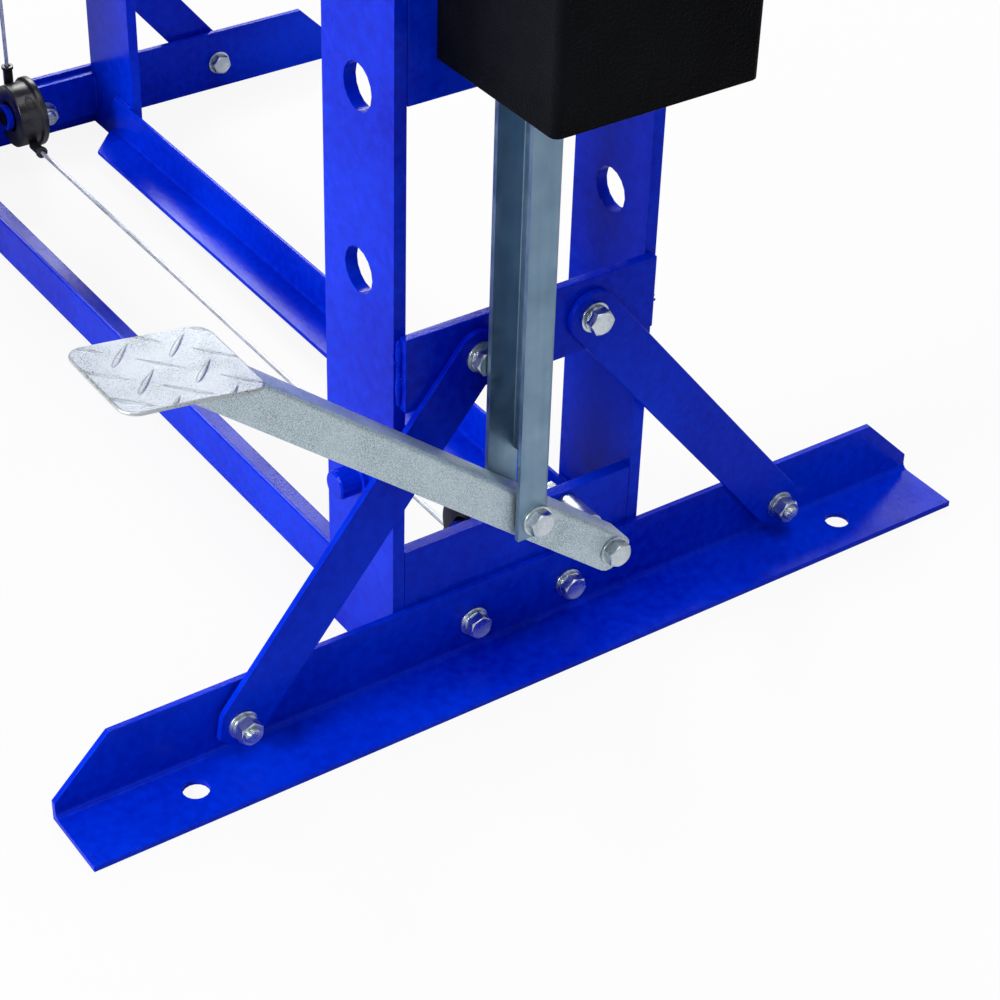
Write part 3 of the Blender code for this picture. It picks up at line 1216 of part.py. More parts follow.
def foot_lever():
    """Channel lever with its origin on the pivot, cut slantwise under the pedal plate."""
    section = channel_section(LEVER_WIDTH, LEVER_DEPTH, LEVER_WALL, LEVER_BEND_RADIUS)
    reach = math.dist((LEVER_PIVOT_Y, LEVER_PIVOT_Z), (PEDAL_CENTRE_Y, PEDAL_CENTRE_Z)) + PEDAL_LENGTH / 2
    length = reach + LEVER_TAIL
    mesh = flat_mesh(section, length)
    body = Matrix.Translation((0, 0, LEVER_PIVOT_FROM_TOP)) @ FACING_FRONT
    body = Matrix.Translation((0, -(reach - LEVER_TAIL) / 2, 0)) @ body
    mesh = copies_mesh(mesh, [body])
    piece = keep("foot_lever", mesh, galvanised(), (LEVER_CENTRE_X, LEVER_PIVOT_Y, LEVER_PIVOT_Z))
    piece.rotation_euler = (-LEVER_ANGLE, 0, 0)
    (low_y, low_z), ahead = pedal_underside()
    back = [low_y - PEDAL_LENGTH * ahead[0], low_z - PEDAL_LENGTH * ahead[1]]
    front = [low_y + PEDAL_LENGTH * ahead[0], low_z + PEDAL_LENGTH * ahead[1]]
    rise = PEDAL_LENGTH
    block = flat_mesh([back, front, (front[0], front[1] + rise), (back[0], back[1] + rise)], 2 * LEVER_WIDTH)
    across = Matrix.Translation((LEVER_CENTRE_X, 0, 0)) @ FACING_X
    low = LEVER_PIVOT_FROM_TOP - LEVER_DEPTH
    radius = LEVER_TAIL_RADIUS
    centre = (radius - LEVER_TAIL, low + radius)
    rounding = arc(radius, centre, math.pi, 1.5 * math.pi, FILLET_STEPS)
    beyond = [(centre[0], low - OVERRUN), (-LEVER_TAIL - OVERRUN, low - OVERRUN), (-LEVER_TAIL - OVERRUN, centre[1])]
    corner = flat_mesh([lever_point(*spot) for spot in rounding + beyond], 2 * LEVER_WIDTH)
    spots = [(LEVER_PIVOT_Y, LEVER_PIVOT_Z), (ROD_BOLT_Y, ROD_BOLT_Z)]
    radius = BOLT_DIAMETER / 2 + SEAT
    rods = [((LEVER_CENTRE_X, y, z), radius, LEVER_WIDTH + 2 * OVERRUN) for y, z in spots]
    cut(piece, merged_mesh([copies_mesh(block, [across]), copies_mesh(corner, [across]), rods_mesh(rods, (1, 0, 0))]))
    return smooth(piece)


def pedal_plate():
    """Foot plate welded on the lever's slant."""
    outline = rounded_rectangle(PEDAL_WIDTH, PEDAL_LENGTH, PEDAL_CORNER_RADIUS)
    mesh = flat_mesh(outline, PEDAL_THICKNESS)
    tilt = Matrix.Rotation(-PEDAL_TILT, 4, "X")
    return keep("pedal_plate", mesh, galvanised(), (LEVER_CENTRE_X, PEDAL_CENTRE_Y, PEDAL_CENTRE_Z), tilt)


def push_rod():
    """Upright channel from the foot lever into the box, its origin on its lower bolt."""
    section = channel_section(ROD_WIDTH, ROD_DEPTH, ROD_WALL, ROD_BEND_RADIUS)
    top = ROD_TOP_PIN_HEIGHT + ROD_TAIL
    length = top - ROD_BOLT_Z + ROD_TAIL
    mesh = flat_mesh(section, length)
    lift = Matrix.Translation((0, ROD_BOLT_FROM_BACK, length / 2 - ROD_TAIL))
    piece = keep(
        "push_rod", copies_mesh(mesh, [lift]), bright_zinc(), (LEVER_CENTRE_X, ROD_BOLT_Y, ROD_BOLT_Z)
    )
    low_top = ROD_BOLT_Z + ROD_WEB_CUT
    high_bottom = ROD_TOP_PIN_HEIGHT - ROD_WEB_CUT + ROD_TAIL / 2
    across = ROD_WIDTH - 2 * ROD_WALL + 2 * SEAT
    depth = 2 * (ROD_WALL + OVERRUN)
    back = ROD_BOLT_Y + ROD_BOLT_FROM_BACK
    windows = []
    for low, high in ((ROD_BOLT_Z - ROD_TAIL - OVERRUN, low_top), (high_bottom, top + OVERRUN)):
        place = Matrix.Translation((LEVER_CENTRE_X, back, (low + high) / 2))
        windows.append(copies_mesh(box_mesh((across, depth, high - low)), [place]))
    cut(piece, merged_mesh(windows))
    wide = ROD_WIDTH + 2 * OVERRUN
    rods = [
        ((LEVER_CENTRE_X, ROD_BOLT_Y, ROD_BOLT_Z), BOLT_DIAMETER / 2 + SEAT, wide),
        ((LEVER_CENTRE_X, ROD_BOLT_Y, ROD_TOP_PIN_HEIGHT), ROCKER_PIN_DIAMETER / 2 + ROD_TOP_PIN_SLACK, wide),
    ]
    cut(piece, rods_mesh(rods, (1, 0, 0), ROUND_STEPS))
    return smooth(piece)


def pedal_bolts():
    """Shouldered pivot bolt of the foot lever, and the bolt between the lever and the rod."""
    face = LEVER_CENTRE_X + LEVER_WIDTH / 2
    grip = face - POST_OUTER_X + LOW_PLATE_THICKNESS
    shoulder = (WASHER_DIAMETER, POST_OUTER_X - face, -LEVER_WIDTH - 2 * SEAT)
    bolt = bolt_mesh(grip, BOLT_DIAMETER, BOLT_FLATS, BOLT_HEAD_HEIGHT, NUT_HEIGHT, WASHER_DIAMETER, shoulder)
    spot = (face + SEAT, LEVER_PIVOT_Y, LEVER_PIVOT_Z)
    keep("pedal_pivot_bolt", copies_mesh(bolt, [along_x(1, 0, 0, 0, 0)]), bright_zinc(), spot)
    face = LEVER_CENTRE_X + ROD_WIDTH / 2
    bolt = bolt_mesh(ROD_WIDTH, BOLT_DIAMETER, BOLT_FLATS, BOLT_HEAD_HEIGHT, NUT_HEIGHT, BOLT_FLATS)
    spot = (face + SEAT, ROD_BOLT_Y, ROD_BOLT_Z)
    keep("push_rod_bolt", copies_mesh(bolt, [along_x(1, 0, 0, 0, 0)]), bright_zinc(), spot)


def pressure_pipe():
    """Steel pipe from the pump up beside the posts and in to the cylinder, with its two fittings."""
    start = pump_pipe_start()
    end_x = CYLINDER_DIAMETER / 2 + SEAT + FITTING_LENGTH / 2
    corners = [
        (PIPE_X, PIPE_Y, start + FITTING_LENGTH / 2), (PIPE_X, PIPE_Y, PIPE_TOP_HEIGHT),
        (PIPE_TURN_X + PIPE_BEND_RADIUS, PIPE_Y, PIPE_TOP_HEIGHT), (PIPE_TURN_X, 0, PIPE_TOP_HEIGHT),
        (end_x, 0, PIPE_TOP_HEIGHT),
    ]
    route = filleted(corners, PIPE_BEND_RADIUS / 2, 2 * FILLET_STEPS)
    nut = prism_mesh(6, FITTING_FLATS, -FITTING_LENGTH / 2, FITTING_LENGTH / 2)
    low = Matrix.Translation((PIPE_X, PIPE_Y, start + FITTING_LENGTH / 2))
    high = Matrix.Translation((end_x, 0, PIPE_TOP_HEIGHT)) @ FACING_X
    nuts = [copies_mesh(nut, [placing]) for placing in (low, high)]
    mesh = joined_mesh([tube_mesh(route, PIPE_DIAMETER / 2, 2), *nuts])
    smooth(keep("pressure_pipe", mesh, bright_zinc()))


def pump_pipe_start():
    """Height of the pump block's top face, where the pipe's lower fitting sits."""
    bottom = ROCKER_PIVOT_Z + ROCKER_TAIL_RADIUS + BLOCK_BASE_GAP
    return bottom + PUMP_BLOCK_HEIGHT + SEAT


def gauge():
    """Dial gauge on the front of the head with its needle in the open dish."""
    radius, stem = GAUGE_DIAMETER / 2, GAUGE_STEM_DIAMETER / 2
    front = GAUGE_STEM_LENGTH + GAUGE_DEPTH
    dish = front - GAUGE_RECESS
    profile = [
        (0, dish), (radius - GAUGE_RIM, dish), (radius - GAUGE_RIM, front), (radius, front),
        (radius, GAUGE_STEM_LENGTH), (stem, GAUGE_STEM_LENGTH), (stem, 0), (0, 0),
    ]
    face = -(POST_INNER_Y - SEAT) - SEAT
    smooth(turned("gauge_body", profile, black_paint(), (GAUGE_X, face, GAUGE_HEIGHT), FACING_FRONT))
    tip = (0, NEEDLE_LENGTH)
    hub = arc(NEEDLE_HUB_RADIUS, (0, 0), math.radians(115), math.radians(425), SMALL_STEPS)
    blade = flat_mesh([tip, *hub], NEEDLE_THICKNESS)
    counter = flat_mesh(rectangle(NEEDLE_WIDTH, NEEDLE_TAIL, (0, -NEEDLE_TAIL / 2)), NEEDLE_THICKNESS - 2 * BUSH_FIT)
    needle = copies_mesh(joined_mesh([blade, counter]), [Matrix.Rotation(-NEEDLE_REST, 4, "Z")])
    needle_y = face - dish - NEEDLE_THICKNESS / 2 - NEEDLE_GAP
    keep("gauge_needle", needle, needle_red(), (GAUGE_X, needle_y, GAUGE_HEIGHT), FACING_FRONT)


# Winch side

def winch_frame():
    """Two cheeks joined to two bars across the left posts' outer edges."""
    bar = (WINCH_BAR_THICKNESS, WINCH_BAR_WIDTH, WINCH_BAR_HEIGHT)
    x = -(POST_OUTER_X + SEAT + WINCH_BAR_THICKNESS / 2)
    meshes = []
    for end in (1, -1):
        place = Matrix.Translation((x, 0, WINCH_HEIGHT + end * WINCH_BAR_OFFSET))
        meshes.append(copies_mesh(box_mesh(bar), [place]))
    inboard, outboard = -DRUM_X + WINCH_CHEEK_INBOARD, -DRUM_X - WINCH_CHEEK_OUTBOARD
    size = (inboard - outboard, WINCH_CHEEK_THICKNESS, WINCH_CHEEK_HEIGHT)
    for end in (1, -1):
        place = Matrix.Translation(((inboard + outboard) / 2, end * WINCH_CHEEK_Y, WINCH_HEIGHT))
        meshes.append(copies_mesh(box_mesh(size), [place]))
    meshes.append(winch_gear_case())
    piece = keep("winch_frame", joined_mesh(meshes), blue_paint())
    drum_wall = 2 * (WINCH_CHEEK_INNER + WINCH_CHEEK_THICKNESS + DRUM_FLANGE_THICKNESS + SEAT)
    crank_wall = 2 * (WINCH_CHEEK_Y + WINCH_CHEEK_THICKNESS + GEAR_CASE_DEPTH)
    rods = [
        ((-DRUM_X, 0, WINCH_HEIGHT), turning_bore(DRUM_SHAFT_DIAMETER), drum_wall),
        ((CRANK_SHAFT_X, 0, WINCH_HEIGHT), turning_bore(CRANK_SHAFT_DIAMETER), crank_wall),
    ]
    return cut(piece, rods_mesh(rods, (0, 1, 0), ROUND_STEPS))


def winch_gear_case():
    """Closed gear case on the front cheek, over both shafts."""
    start = -WINCH_CHEEK_INNER - WINCH_CHEEK_THICKNESS / 2
    drum_eye, crank_eye = (-DRUM_X, WINCH_HEIGHT), (CRANK_SHAFT_X, WINCH_HEIGHT)
    outline = link_outline(drum_eye, crank_eye, GEAR_CASE_MARGIN, GEAR_CASE_MARGIN, SMALL_STEPS, SMALL_STEPS)
    mesh = flat_mesh(outline, GEAR_CASE_DEPTH)
    return copies_mesh(mesh, [Matrix.Translation((0, start - GEAR_CASE_DEPTH / 2, 0)) @ FACING_FRONT])


def winch_drum():
    """Rope drum with its flanges and shaft, turned about Y."""
    half, flange = DRUM_LENGTH / 2, DRUM_FLANGE_THICKNESS
    core = DRUM_RADIUS * math.cos(math.pi / LOOP_STEPS) - ROPE_DIAMETER / 2 - SEAT
    wide, shaft = DRUM_FLANGE_DIAMETER / 2, DRUM_SHAFT_DIAMETER / 2
    end = WINCH_CHEEK_INNER + WINCH_CHEEK_THICKNESS + DRUM_FLANGE_THICKNESS
    profile = [
        (0, end), (shaft, end), (shaft, half), (wide, half), (wide, half - flange), (core, half - flange),
        (core, -half + flange), (wide, -half + flange), (wide, -half), (shaft, -half), (shaft, -end), (0, -end),
    ]
    return smooth(turned("winch_drum", profile, bright_zinc(), (-DRUM_X, 0, WINCH_HEIGHT), FACING_FRONT))


def winch_crank():
    """Crank shaft, arm and grip post as one piece, its origin on the shaft's axis."""
    arm_y = -POST_OUTER_Y - CRANK_STANDOFF
    shaft_middle = (0, (WINCH_CHEEK_INNER + arm_y) / 2, 0)
    shaft = rods_mesh([(shaft_middle, CRANK_SHAFT_DIAMETER / 2, WINCH_CHEEK_INNER - arm_y)], (0, 1, 0))
    eye = CRANK_ARM_WIDTH / 2
    outline = link_outline((0, 0), (-CRANK_REACH, 0), eye, eye, SMALL_STEPS, SMALL_STEPS)
    arm = copies_mesh(flat_mesh(outline, CRANK_ARM_THICKNESS), [Matrix.Translation((0, arm_y, 0)) @ FACING_FRONT])
    grip_end = arm_y - CRANK_ARM_THICKNESS / 2 - CRANK_GRIP_LENGTH
    grip_middle = (-CRANK_REACH, (arm_y + grip_end) / 2, 0)
    grip = rods_mesh([(grip_middle, CRANK_GRIP_DIAMETER / 2, arm_y - grip_end)], (0, 1, 0), SMALL_STEPS)
    spot = (CRANK_SHAFT_X, 0, WINCH_HEIGHT)
    smooth(keep("winch_crank", joined_mesh([shaft, arm, grip]), bright_zinc(), spot))


def build():
    """Every piece of the press, side by side where there are two."""
    clear_scene()
    for side, side_name in ((1, "right"), (-1, "left")):
        foot(side, "foot_" + side_name)
        low_plate(side, "low_plate_" + side_name)
        mid_plate(side, "mid_plate_" + side_name)
        pulley_guard(side, "pulley_guard_" + side_name)
        pulley("low_pulley_" + side_name, side * LOW_PULLEY_X, LOW_PULLEY_HEIGHT, LOW_PULLEY_RADIUS)
        low_axle(side, "low_axle_" + side_name)
        support_block(side, "support_block_" + side_name)
        bed_pin(side, "bed_pin_" + side_name)
        for end, end_name in ((-1, "front"), (1, "rear")):
            post(side, end, "post_" + side_name + "_" + end_name)
            brace(side, end, "brace_" + side_name + "_" + end_name)
    for end, end_name in ((-1, "front"), (1, "rear")):
        rail(end, "rail_" + end_name)
        head_beam(end, "head_beam_" + end_name)
    pulley("high_pulley_right", RIGHT_PULLEY_X, HIGH_PULLEY_HEIGHT, LOW_PULLEY_RADIUS)
    pulley("high_pulley_left", -LEFT_PULLEY_X, HIGH_PULLEY_HEIGHT, LEFT_PULLEY_RADIUS)
    for x, name in zip(high_pulleys(), ("high_axle_right", "high_axle_left")):
        pulley_axle(name, x, HIGH_PULLEY_HEIGHT, POST_OUTER_Y, -1)
    peg()
    cylinder_and_ram()
    bed_frame()
    ropes()
    pump_plate()
    pump_box()
    pump_block()
    plunger()
    rocker()
    hand_lever()
    valve_knob()
    foot_lever()
    pedal_plate()
    push_rod()
    pedal_bolts()
    pressure_pipe()
    gauge()
    winch_frame()
    winch_drum()
    winch_crank()


build()
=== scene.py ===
import json
import logging
import math
from dataclasses import dataclass, field
from enum import Enum
from itertools import product
from typing import Any, Callable, Iterable, Sequence

import bmesh
import bpy
import numpy as np
from mathutils import Matrix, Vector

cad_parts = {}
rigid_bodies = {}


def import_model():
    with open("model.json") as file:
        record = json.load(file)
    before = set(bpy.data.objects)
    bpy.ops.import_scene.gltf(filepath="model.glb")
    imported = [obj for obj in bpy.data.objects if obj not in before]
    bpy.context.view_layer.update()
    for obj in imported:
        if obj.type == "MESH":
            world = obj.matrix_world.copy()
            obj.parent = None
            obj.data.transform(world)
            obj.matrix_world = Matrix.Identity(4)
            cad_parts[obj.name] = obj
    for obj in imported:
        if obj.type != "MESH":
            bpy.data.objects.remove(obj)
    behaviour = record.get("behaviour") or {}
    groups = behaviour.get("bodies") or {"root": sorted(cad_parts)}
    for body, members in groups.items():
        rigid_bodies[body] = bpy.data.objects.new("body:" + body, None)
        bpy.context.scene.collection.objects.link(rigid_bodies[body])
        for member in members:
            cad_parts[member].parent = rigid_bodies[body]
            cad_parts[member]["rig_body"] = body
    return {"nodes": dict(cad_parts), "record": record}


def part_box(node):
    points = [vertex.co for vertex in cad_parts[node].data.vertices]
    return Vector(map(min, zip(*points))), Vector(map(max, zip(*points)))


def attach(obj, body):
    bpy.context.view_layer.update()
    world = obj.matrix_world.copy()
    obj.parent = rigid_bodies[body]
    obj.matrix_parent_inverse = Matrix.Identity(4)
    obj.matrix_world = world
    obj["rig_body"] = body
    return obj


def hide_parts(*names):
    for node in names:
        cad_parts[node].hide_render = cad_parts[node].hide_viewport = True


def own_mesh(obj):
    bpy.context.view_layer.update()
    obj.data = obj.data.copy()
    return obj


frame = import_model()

LOG = logging.getLogger("shop_press")
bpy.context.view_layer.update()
TAU = 2 * math.pi
WELD = 2e-6
Point = Sequence[float]
Grid = np.ndarray
Item = bpy.types.Object
Material = bpy.types.Material
Socket = bpy.types.NodeSocket
LOW_WHEEL = (0.4016, 0.061)
HIGH_RIGHT_WHEEL = (0.4096, 1.700)
HIGH_LEFT_WHEEL = (-0.4332, 1.700)
WHEEL_RADIUS = 0.025
LEFT_WHEEL_RADIUS = 0.0486
PUMP_AXIS_X = 0.5037
BOLT_LINE_X = 0.4103
WINCH_HEIGHT = 1.130


class Slot(Enum):
    """Material slots of the record."""

    BLUE_PAINT = "blue_paint"
    BLACK_PAINT = "black_paint"
    HARD_CHROME = "hard_chrome"
    MACHINED_STEEL = "machined_steel"
    ZINC_PLATE = "zinc_plate"
    STEEL_ROPE = "steel_rope"
    BLACK_PLASTIC = "black_plastic"
    CAST_PUMP = "cast_pump"
    NEEDLE_RED = "needle_red"


class FastenerEnd(Enum):
    """What shows at one end of a bolt."""

    HEAD = "head"
    NUT = "nut"


class Sides(Enum):
    """The two sides of the press, as the sign of X."""

    RIGHT = 1
    LEFT = -1


def unit(vector: Point) -> Grid:
    """The vector at length one."""
    array = np.asarray(vector, float)
    return array / np.linalg.norm(array)


def placed(grid: Grid, spot: Point, way: Point, spin: float = 0.0) -> Grid:
    """Turns a grid whose height runs along Z so that it stands on a spot and points another way.

    Args:
        grid: Points, the last axis being X, Y and Z.
        spot: Where the grid's origin goes.
        way: Where the grid's Z axis points.
        spin: Turn about that axis, in radians.

    Returns:
        The points in the press's own axes.
    """
    up = unit(way)
    helper = np.array([0.0, 0.0, 1.0]) if abs(up[2]) < 0.9 else np.array([0.0, 1.0, 0.0])
    side = unit(np.cross(helper, up))
    other = np.cross(up, side)
    across = math.cos(spin) * side + math.sin(spin) * other
    along = np.cross(up, across)
    return np.asarray(spot, float) + grid @ np.stack([across, along, up])


@dataclass
class Shape:
    """Grids of points that become one mesh."""

    points: list[Grid] = field(default_factory=list)
    faces: list[Grid] = field(default_factory=list)
    count: int = 0

    @classmethod
    def of(cls, *grids: Grid) -> "Shape":
        """A shape made of these grids."""
        shape = cls()
        for grid in grids:
            shape.add(grid)
        return shape

    def add(self, grid: Grid, wrap: bool = True) -> None:
        """Adds a grid as quads between neighbouring rows and columns.

        Args:
            grid: Points of shape rows by columns by 3.
            wrap: Whether the last column joins the first.
        """
        rows, columns = grid.shape[:2]
        index = np.arange(rows * columns).reshape(rows, columns) + self.count
        index = np.concatenate([index, index[:, :1]], axis=1) if wrap else index
        quads = np.stack([index[:-1, :-1], index[:-1, 1:], index[1:, 1:], index[1:, :-1]], axis=-1)
        self.points.append(grid.reshape(-1, 3))
        self.faces.append(quads.reshape(-1, 4))
        self.count += rows * columns

    def piece(
        self, name: str, body: str, finish: "Finish", node: str = "", sharp: float = 35.0,
        slot: Slot | None = None,
    ) -> Item:
        """Makes the mesh, closes its seams and poles, turns its faces outwards and dresses it.

        Args:
            name: The piece's name.
            body: The CAD body it rides on.
            finish: Its finish.
            node: The CAD node that it replaces, if any.
            sharp: Angle in degrees past which an edge stays sharp.
            slot: Not used.

        Returns:
            The new object.
        """
        mesh = bpy.data.meshes.new(name)
        mesh.from_pydata(np.concatenate(self.points), [], np.concatenate(self.faces).tolist())
        shell = bmesh.new()
        shell.from_mesh(mesh)
        bmesh.ops.remove_doubles(shell, verts=shell.verts, dist=WELD)
        bmesh.ops.recalc_face_normals(shell, faces=shell.faces)
        shell.to_mesh(mesh)
        shell.free()
        mesh.shade_smooth()
        mesh.set_sharp_from_angle(angle=math.radians(sharp))
        item = dressed(linked(name, mesh), body, finish)
        if node:
            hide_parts(node)
        return item


def linked(name: str, data: Any) -> Item:
    """A new object in the scene."""
    item = bpy.data.objects.new(name, data)
    bpy.context.scene.collection.objects.link(item)
    return item


def dressed(item: Item, body: str, finish: "Finish") -> Item:
    """Gives a piece its finish and lets it ride on its body."""
    item.data.materials.clear()
    item.data.materials.append(finish.material())
    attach(item, body)
    LOG.info("%s: %d points on %s", item.name, len(item.data.vertices), body)
    return item


def angles(steps: int) -> Grid:
    """Evenly spaced angles of one turn, without its end."""
    return np.linspace(0, TAU, steps, endpoint=False)


def polar(radius: Any, turn: Grid, height: Any) -> Grid:
    """Points from a radius, an angle about the Z axis and a height."""
    return np.stack([radius * np.cos(turn), radius * np.sin(turn), height], axis=-1)


def rod(radius: float, low: float, high: float) -> list[Point]:
    """Profile of a plain round bar."""
    return [(0, low), (radius, low), (radius, high), (0, high)]


def capped(grid: Grid, first: Grid, last: Grid) -> Grid:
    """The grid with a row drawn in to a point at each end."""
    ends = [np.broadcast_to(point, (1, *grid.shape[1:])) for point in (first, last)]
    return np.concatenate([ends[0], grid, ends[1]])


def lathe(profile: Sequence[Point], steps: int = 64) -> Grid:
    """A turned surface: each profile point (radius, height) goes once round the Z axis.

    Point(i, t) = (radius_i cos t, radius_i sin t, height_i), with t from 0 to a full turn.
    """
    outline = np.asarray(profile, float)
    turn = angles(steps)
    radius, height = outline[:, :1], outline[:, 1:]
    return polar(radius, turn, height + 0 * turn)


def turned(
    profile: Sequence[Point], steps: int, ease: float = 0.0, bend: int = 4, spot: Point = (0, 0, 0),
    way: Point = (0, 0, 1),
) -> Grid:
    """A turned surface that stands on a spot and points another way.

    Args:
        profile: Points (radius, height).
        steps: Steps round the axis.
        ease: Rounding of the profile's inner corners, in metres.
        bend: Steps of each rounding.
        spot: Where the profile's origin goes.
        way: Where its height points.

    Returns:
        The grid.
    """
    return placed(lathe(eased(profile, ease, bend) if ease else profile, steps), spot, way)


def flat_ring(bore: float, edge: float, thick: float, steps: int) -> Grid:
    """A washer with eased edges: a turned rectangle from the bore to the edge."""
    section = [(bore, thick / 2), (bore, 0), (edge, 0), (edge, thick), (bore, thick), (bore, thick / 2)]
    return turned(section, steps, 0.0004, 2)


def eased(corners: Sequence[Point], radius: float, steps: int = 4) -> Grid:
    """Rounds the inner corners of an open outline.

    Each corner P becomes the curve (1-t)^2 A + 2t(1-t) P + t^2 B, where A and B lie on its two sides,
    a radius away from P or a third of the side where that is shorter. The two ends stay.
    """
    line = np.asarray(corners, float)
    before, middle, after = line[:-2], line[1:-1], line[2:]
    into, out = before - middle, after - middle
    reach_in = np.linalg.norm(into, axis=1, keepdims=True)
    reach_out = np.linalg.norm(out, axis=1, keepdims=True)
    start = middle + into * np.minimum(radius / reach_in, 1 / 3)
    end = middle + out * np.minimum(radius / reach_out, 1 / 3)
    t = np.linspace(0, 1, steps + 1)[None, :, None]
    curve = (1 - t) ** 2 * start[:, None] + 2 * t * (1 - t) * middle[:, None] + t ** 2 * end[:, None]
    return np.concatenate([line[:1], curve.reshape(-1, line.shape[1]), line[-1:]])


def swept(path: Grid, radius: Grid, side: Point, steps: int = 16) -> Grid:
    """A tube along a path: point(i, t) = path_i + radius(i, t) (side cos t + other sin t).

    Args:
        path: Points of the centre line, rows by 3.
        radius: Radius at each row, or at each row and step.
        side: A direction square to the path, about which the path bends.
        steps: Steps round the tube.

    Returns:
        The grid, with both ends drawn in to the centre line.
    """
    along = np.gradient(path, axis=0)
    along /= np.linalg.norm(along, axis=1, keepdims=True)
    across = np.asarray(side, float)[None] - (along @ np.asarray(side, float))[:, None] * along
    across /= np.linalg.norm(across, axis=1, keepdims=True)
    other = np.cross(along, across)
    turn = angles(steps)
    reach = np.broadcast_to(radius if radius.ndim == 2 else radius[:, None], (len(path), steps))[..., None]
    ring = across[:, None] * np.cos(turn)[None, :, None] + other[:, None] * np.sin(turn)[None, :, None]
    return capped(path[:, None] + reach * ring, path[0], path[-1])


def rounded_reach(angle: Grid, half: Point, corner: float) -> Grid:
    """Distance from the middle of a rounded rectangle to its edge, in each direction.

    The ray leaves by the nearer straight side, unless it meets the quarter circle of a corner first.
    """
    cosine, sine = np.abs(np.cos(angle)) + 1e-9, np.abs(np.sin(angle)) + 1e-9
    straight = np.minimum(half[0] / cosine, half[1] / sine)
    centre = (half[0] - corner, half[1] - corner)
    ahead = cosine * centre[0] + sine * centre[1]
    inside = np.maximum(ahead ** 2 - centre[0] ** 2 - centre[1] ** 2 + corner ** 2, 0)
    in_corner = (straight * cosine > centre[0]) & (straight * sine > centre[1])
    return np.where(in_corner, ahead + np.sqrt(inside), straight)


# Finishes

class Graph:
    """A material's nodes, with a Principled shader whose sockets are set by name."""

    def __init__(self, name: str) -> None:
        """Makes an empty material with its shader, its output and its Object coordinates."""
        self.material = bpy.data.materials.new(name)
        self.material.use_nodes = True
        self.tree = self.material.node_tree
        self.tree.nodes.clear()
        self.shader = self.tree.nodes.new("ShaderNodeBsdfPrincipled")
        output = self.tree.nodes.new("ShaderNodeOutputMaterial")
        self.tree.links.new(self.shader.outputs[0], output.inputs[0])
        self.place = self.tree.nodes.new("ShaderNodeTexCoord").outputs["Object"]

    def node(self, kind: str, inputs: dict[Any, Any], **settings: Any) -> bpy.types.Node:
        """Adds a node, sets its options and its sockets, and links those that are given a socket."""
        made = self.tree.nodes.new(kind)
        for key, value in settings.items():
            setattr(made, key, value)
        self.fill(made, inputs)
        return made

    def fill(self, made: bpy.types.Node, inputs: dict[Any, Any]) -> None:
        """Sets or links the named sockets of a node."""
        for key, value in inputs.items():
            if isinstance(value, Socket):
                self.tree.links.new(value, made.inputs[key])
            else:
                made.inputs[key].default_value = value

    def stretched(self, scale: Point) -> Socket:
        """Object coordinates with each axis scaled, for grain that runs one way."""
        return self.node("ShaderNodeMapping", {"Vector": self.place, "Scale": scale}).outputs[0]

    def noise(self, scale: float, detail: float = 2.0, vector: Any = None) -> Socket:
        """Noise from 0 to 1 on the piece's own coordinates."""
        inputs = {"Vector": vector or self.place, "Scale": scale, "Detail": detail}
        return self.node("ShaderNodeTexNoise", inputs).outputs["Fac"]

    def cells(self, scale: float) -> Socket:
        """Distance to the nearest cell of a Voronoi pattern."""
        return self.node("ShaderNodeTexVoronoi", {"Vector": self.place, "Scale": scale}).outputs["Distance"]

    def between(self, value: Any, low: float, high: float, start: float = 0.0, end: float = 1.0) -> Any:
        """Maps a value from low..high to start..end, clamped."""
        inputs = {"Value": value, "From Min": low, "From Max": high, "To Min": start, "To Max": end}
        return self.node("ShaderNodeMapRange", inputs).outputs[0]

    def varied(self, scale: float, detail: float, start: float, end: float) -> Any:
        """A value that noise moves between a start and an end."""
        return self.between(self.noise(scale, detail), 0.3, 0.7, start, end)

    def mixed(self, share: Any, first: Any, second: Any) -> Socket:
        """Colour between two colours."""
        made = self.node("ShaderNodeMix", {}, data_type="RGBA")
        self.fill(made, {0: share, 6: first, 7: second})
        return made.outputs[2]

    def sum(self, first: Any, second: Any, operation: str = "ADD") -> Socket:
        """Sum, or another operation, of two values."""
        return self.node("ShaderNodeMath", {0: first, 1: second}, operation=operation).outputs[0]

    def bump(self, height: Any, depth: float, strength: float = 1.0) -> Socket:
        """Normals from a height, whose full range is depth metres."""
        inputs = {"Height": height, "Distance": depth, "Strength": strength}
        return self.node("ShaderNodeBump", inputs).outputs[0]

    def set(self, **sockets: Any) -> Material:
        """Sets the shader's sockets, written with underscores for spaces, and returns the material."""
        self.fill(self.shader, {key.replace("_", " "): value for key, value in sockets.items()})
        return self.material


@dataclass(frozen=True)
class Finish:
    """A finish with its name and the record's slot; each kind builds its own nodes once."""

    name: str
    slot: Slot = Slot.ZINC_PLATE

    def material(self) -> Material:
        """The material, made at its first use."""
        return bpy.data.materials.get(self.name) or self.build(Graph(self.name))

    def build(self, graph: Graph) -> Material:
        """Fills the graph and returns its material."""
        return graph.material


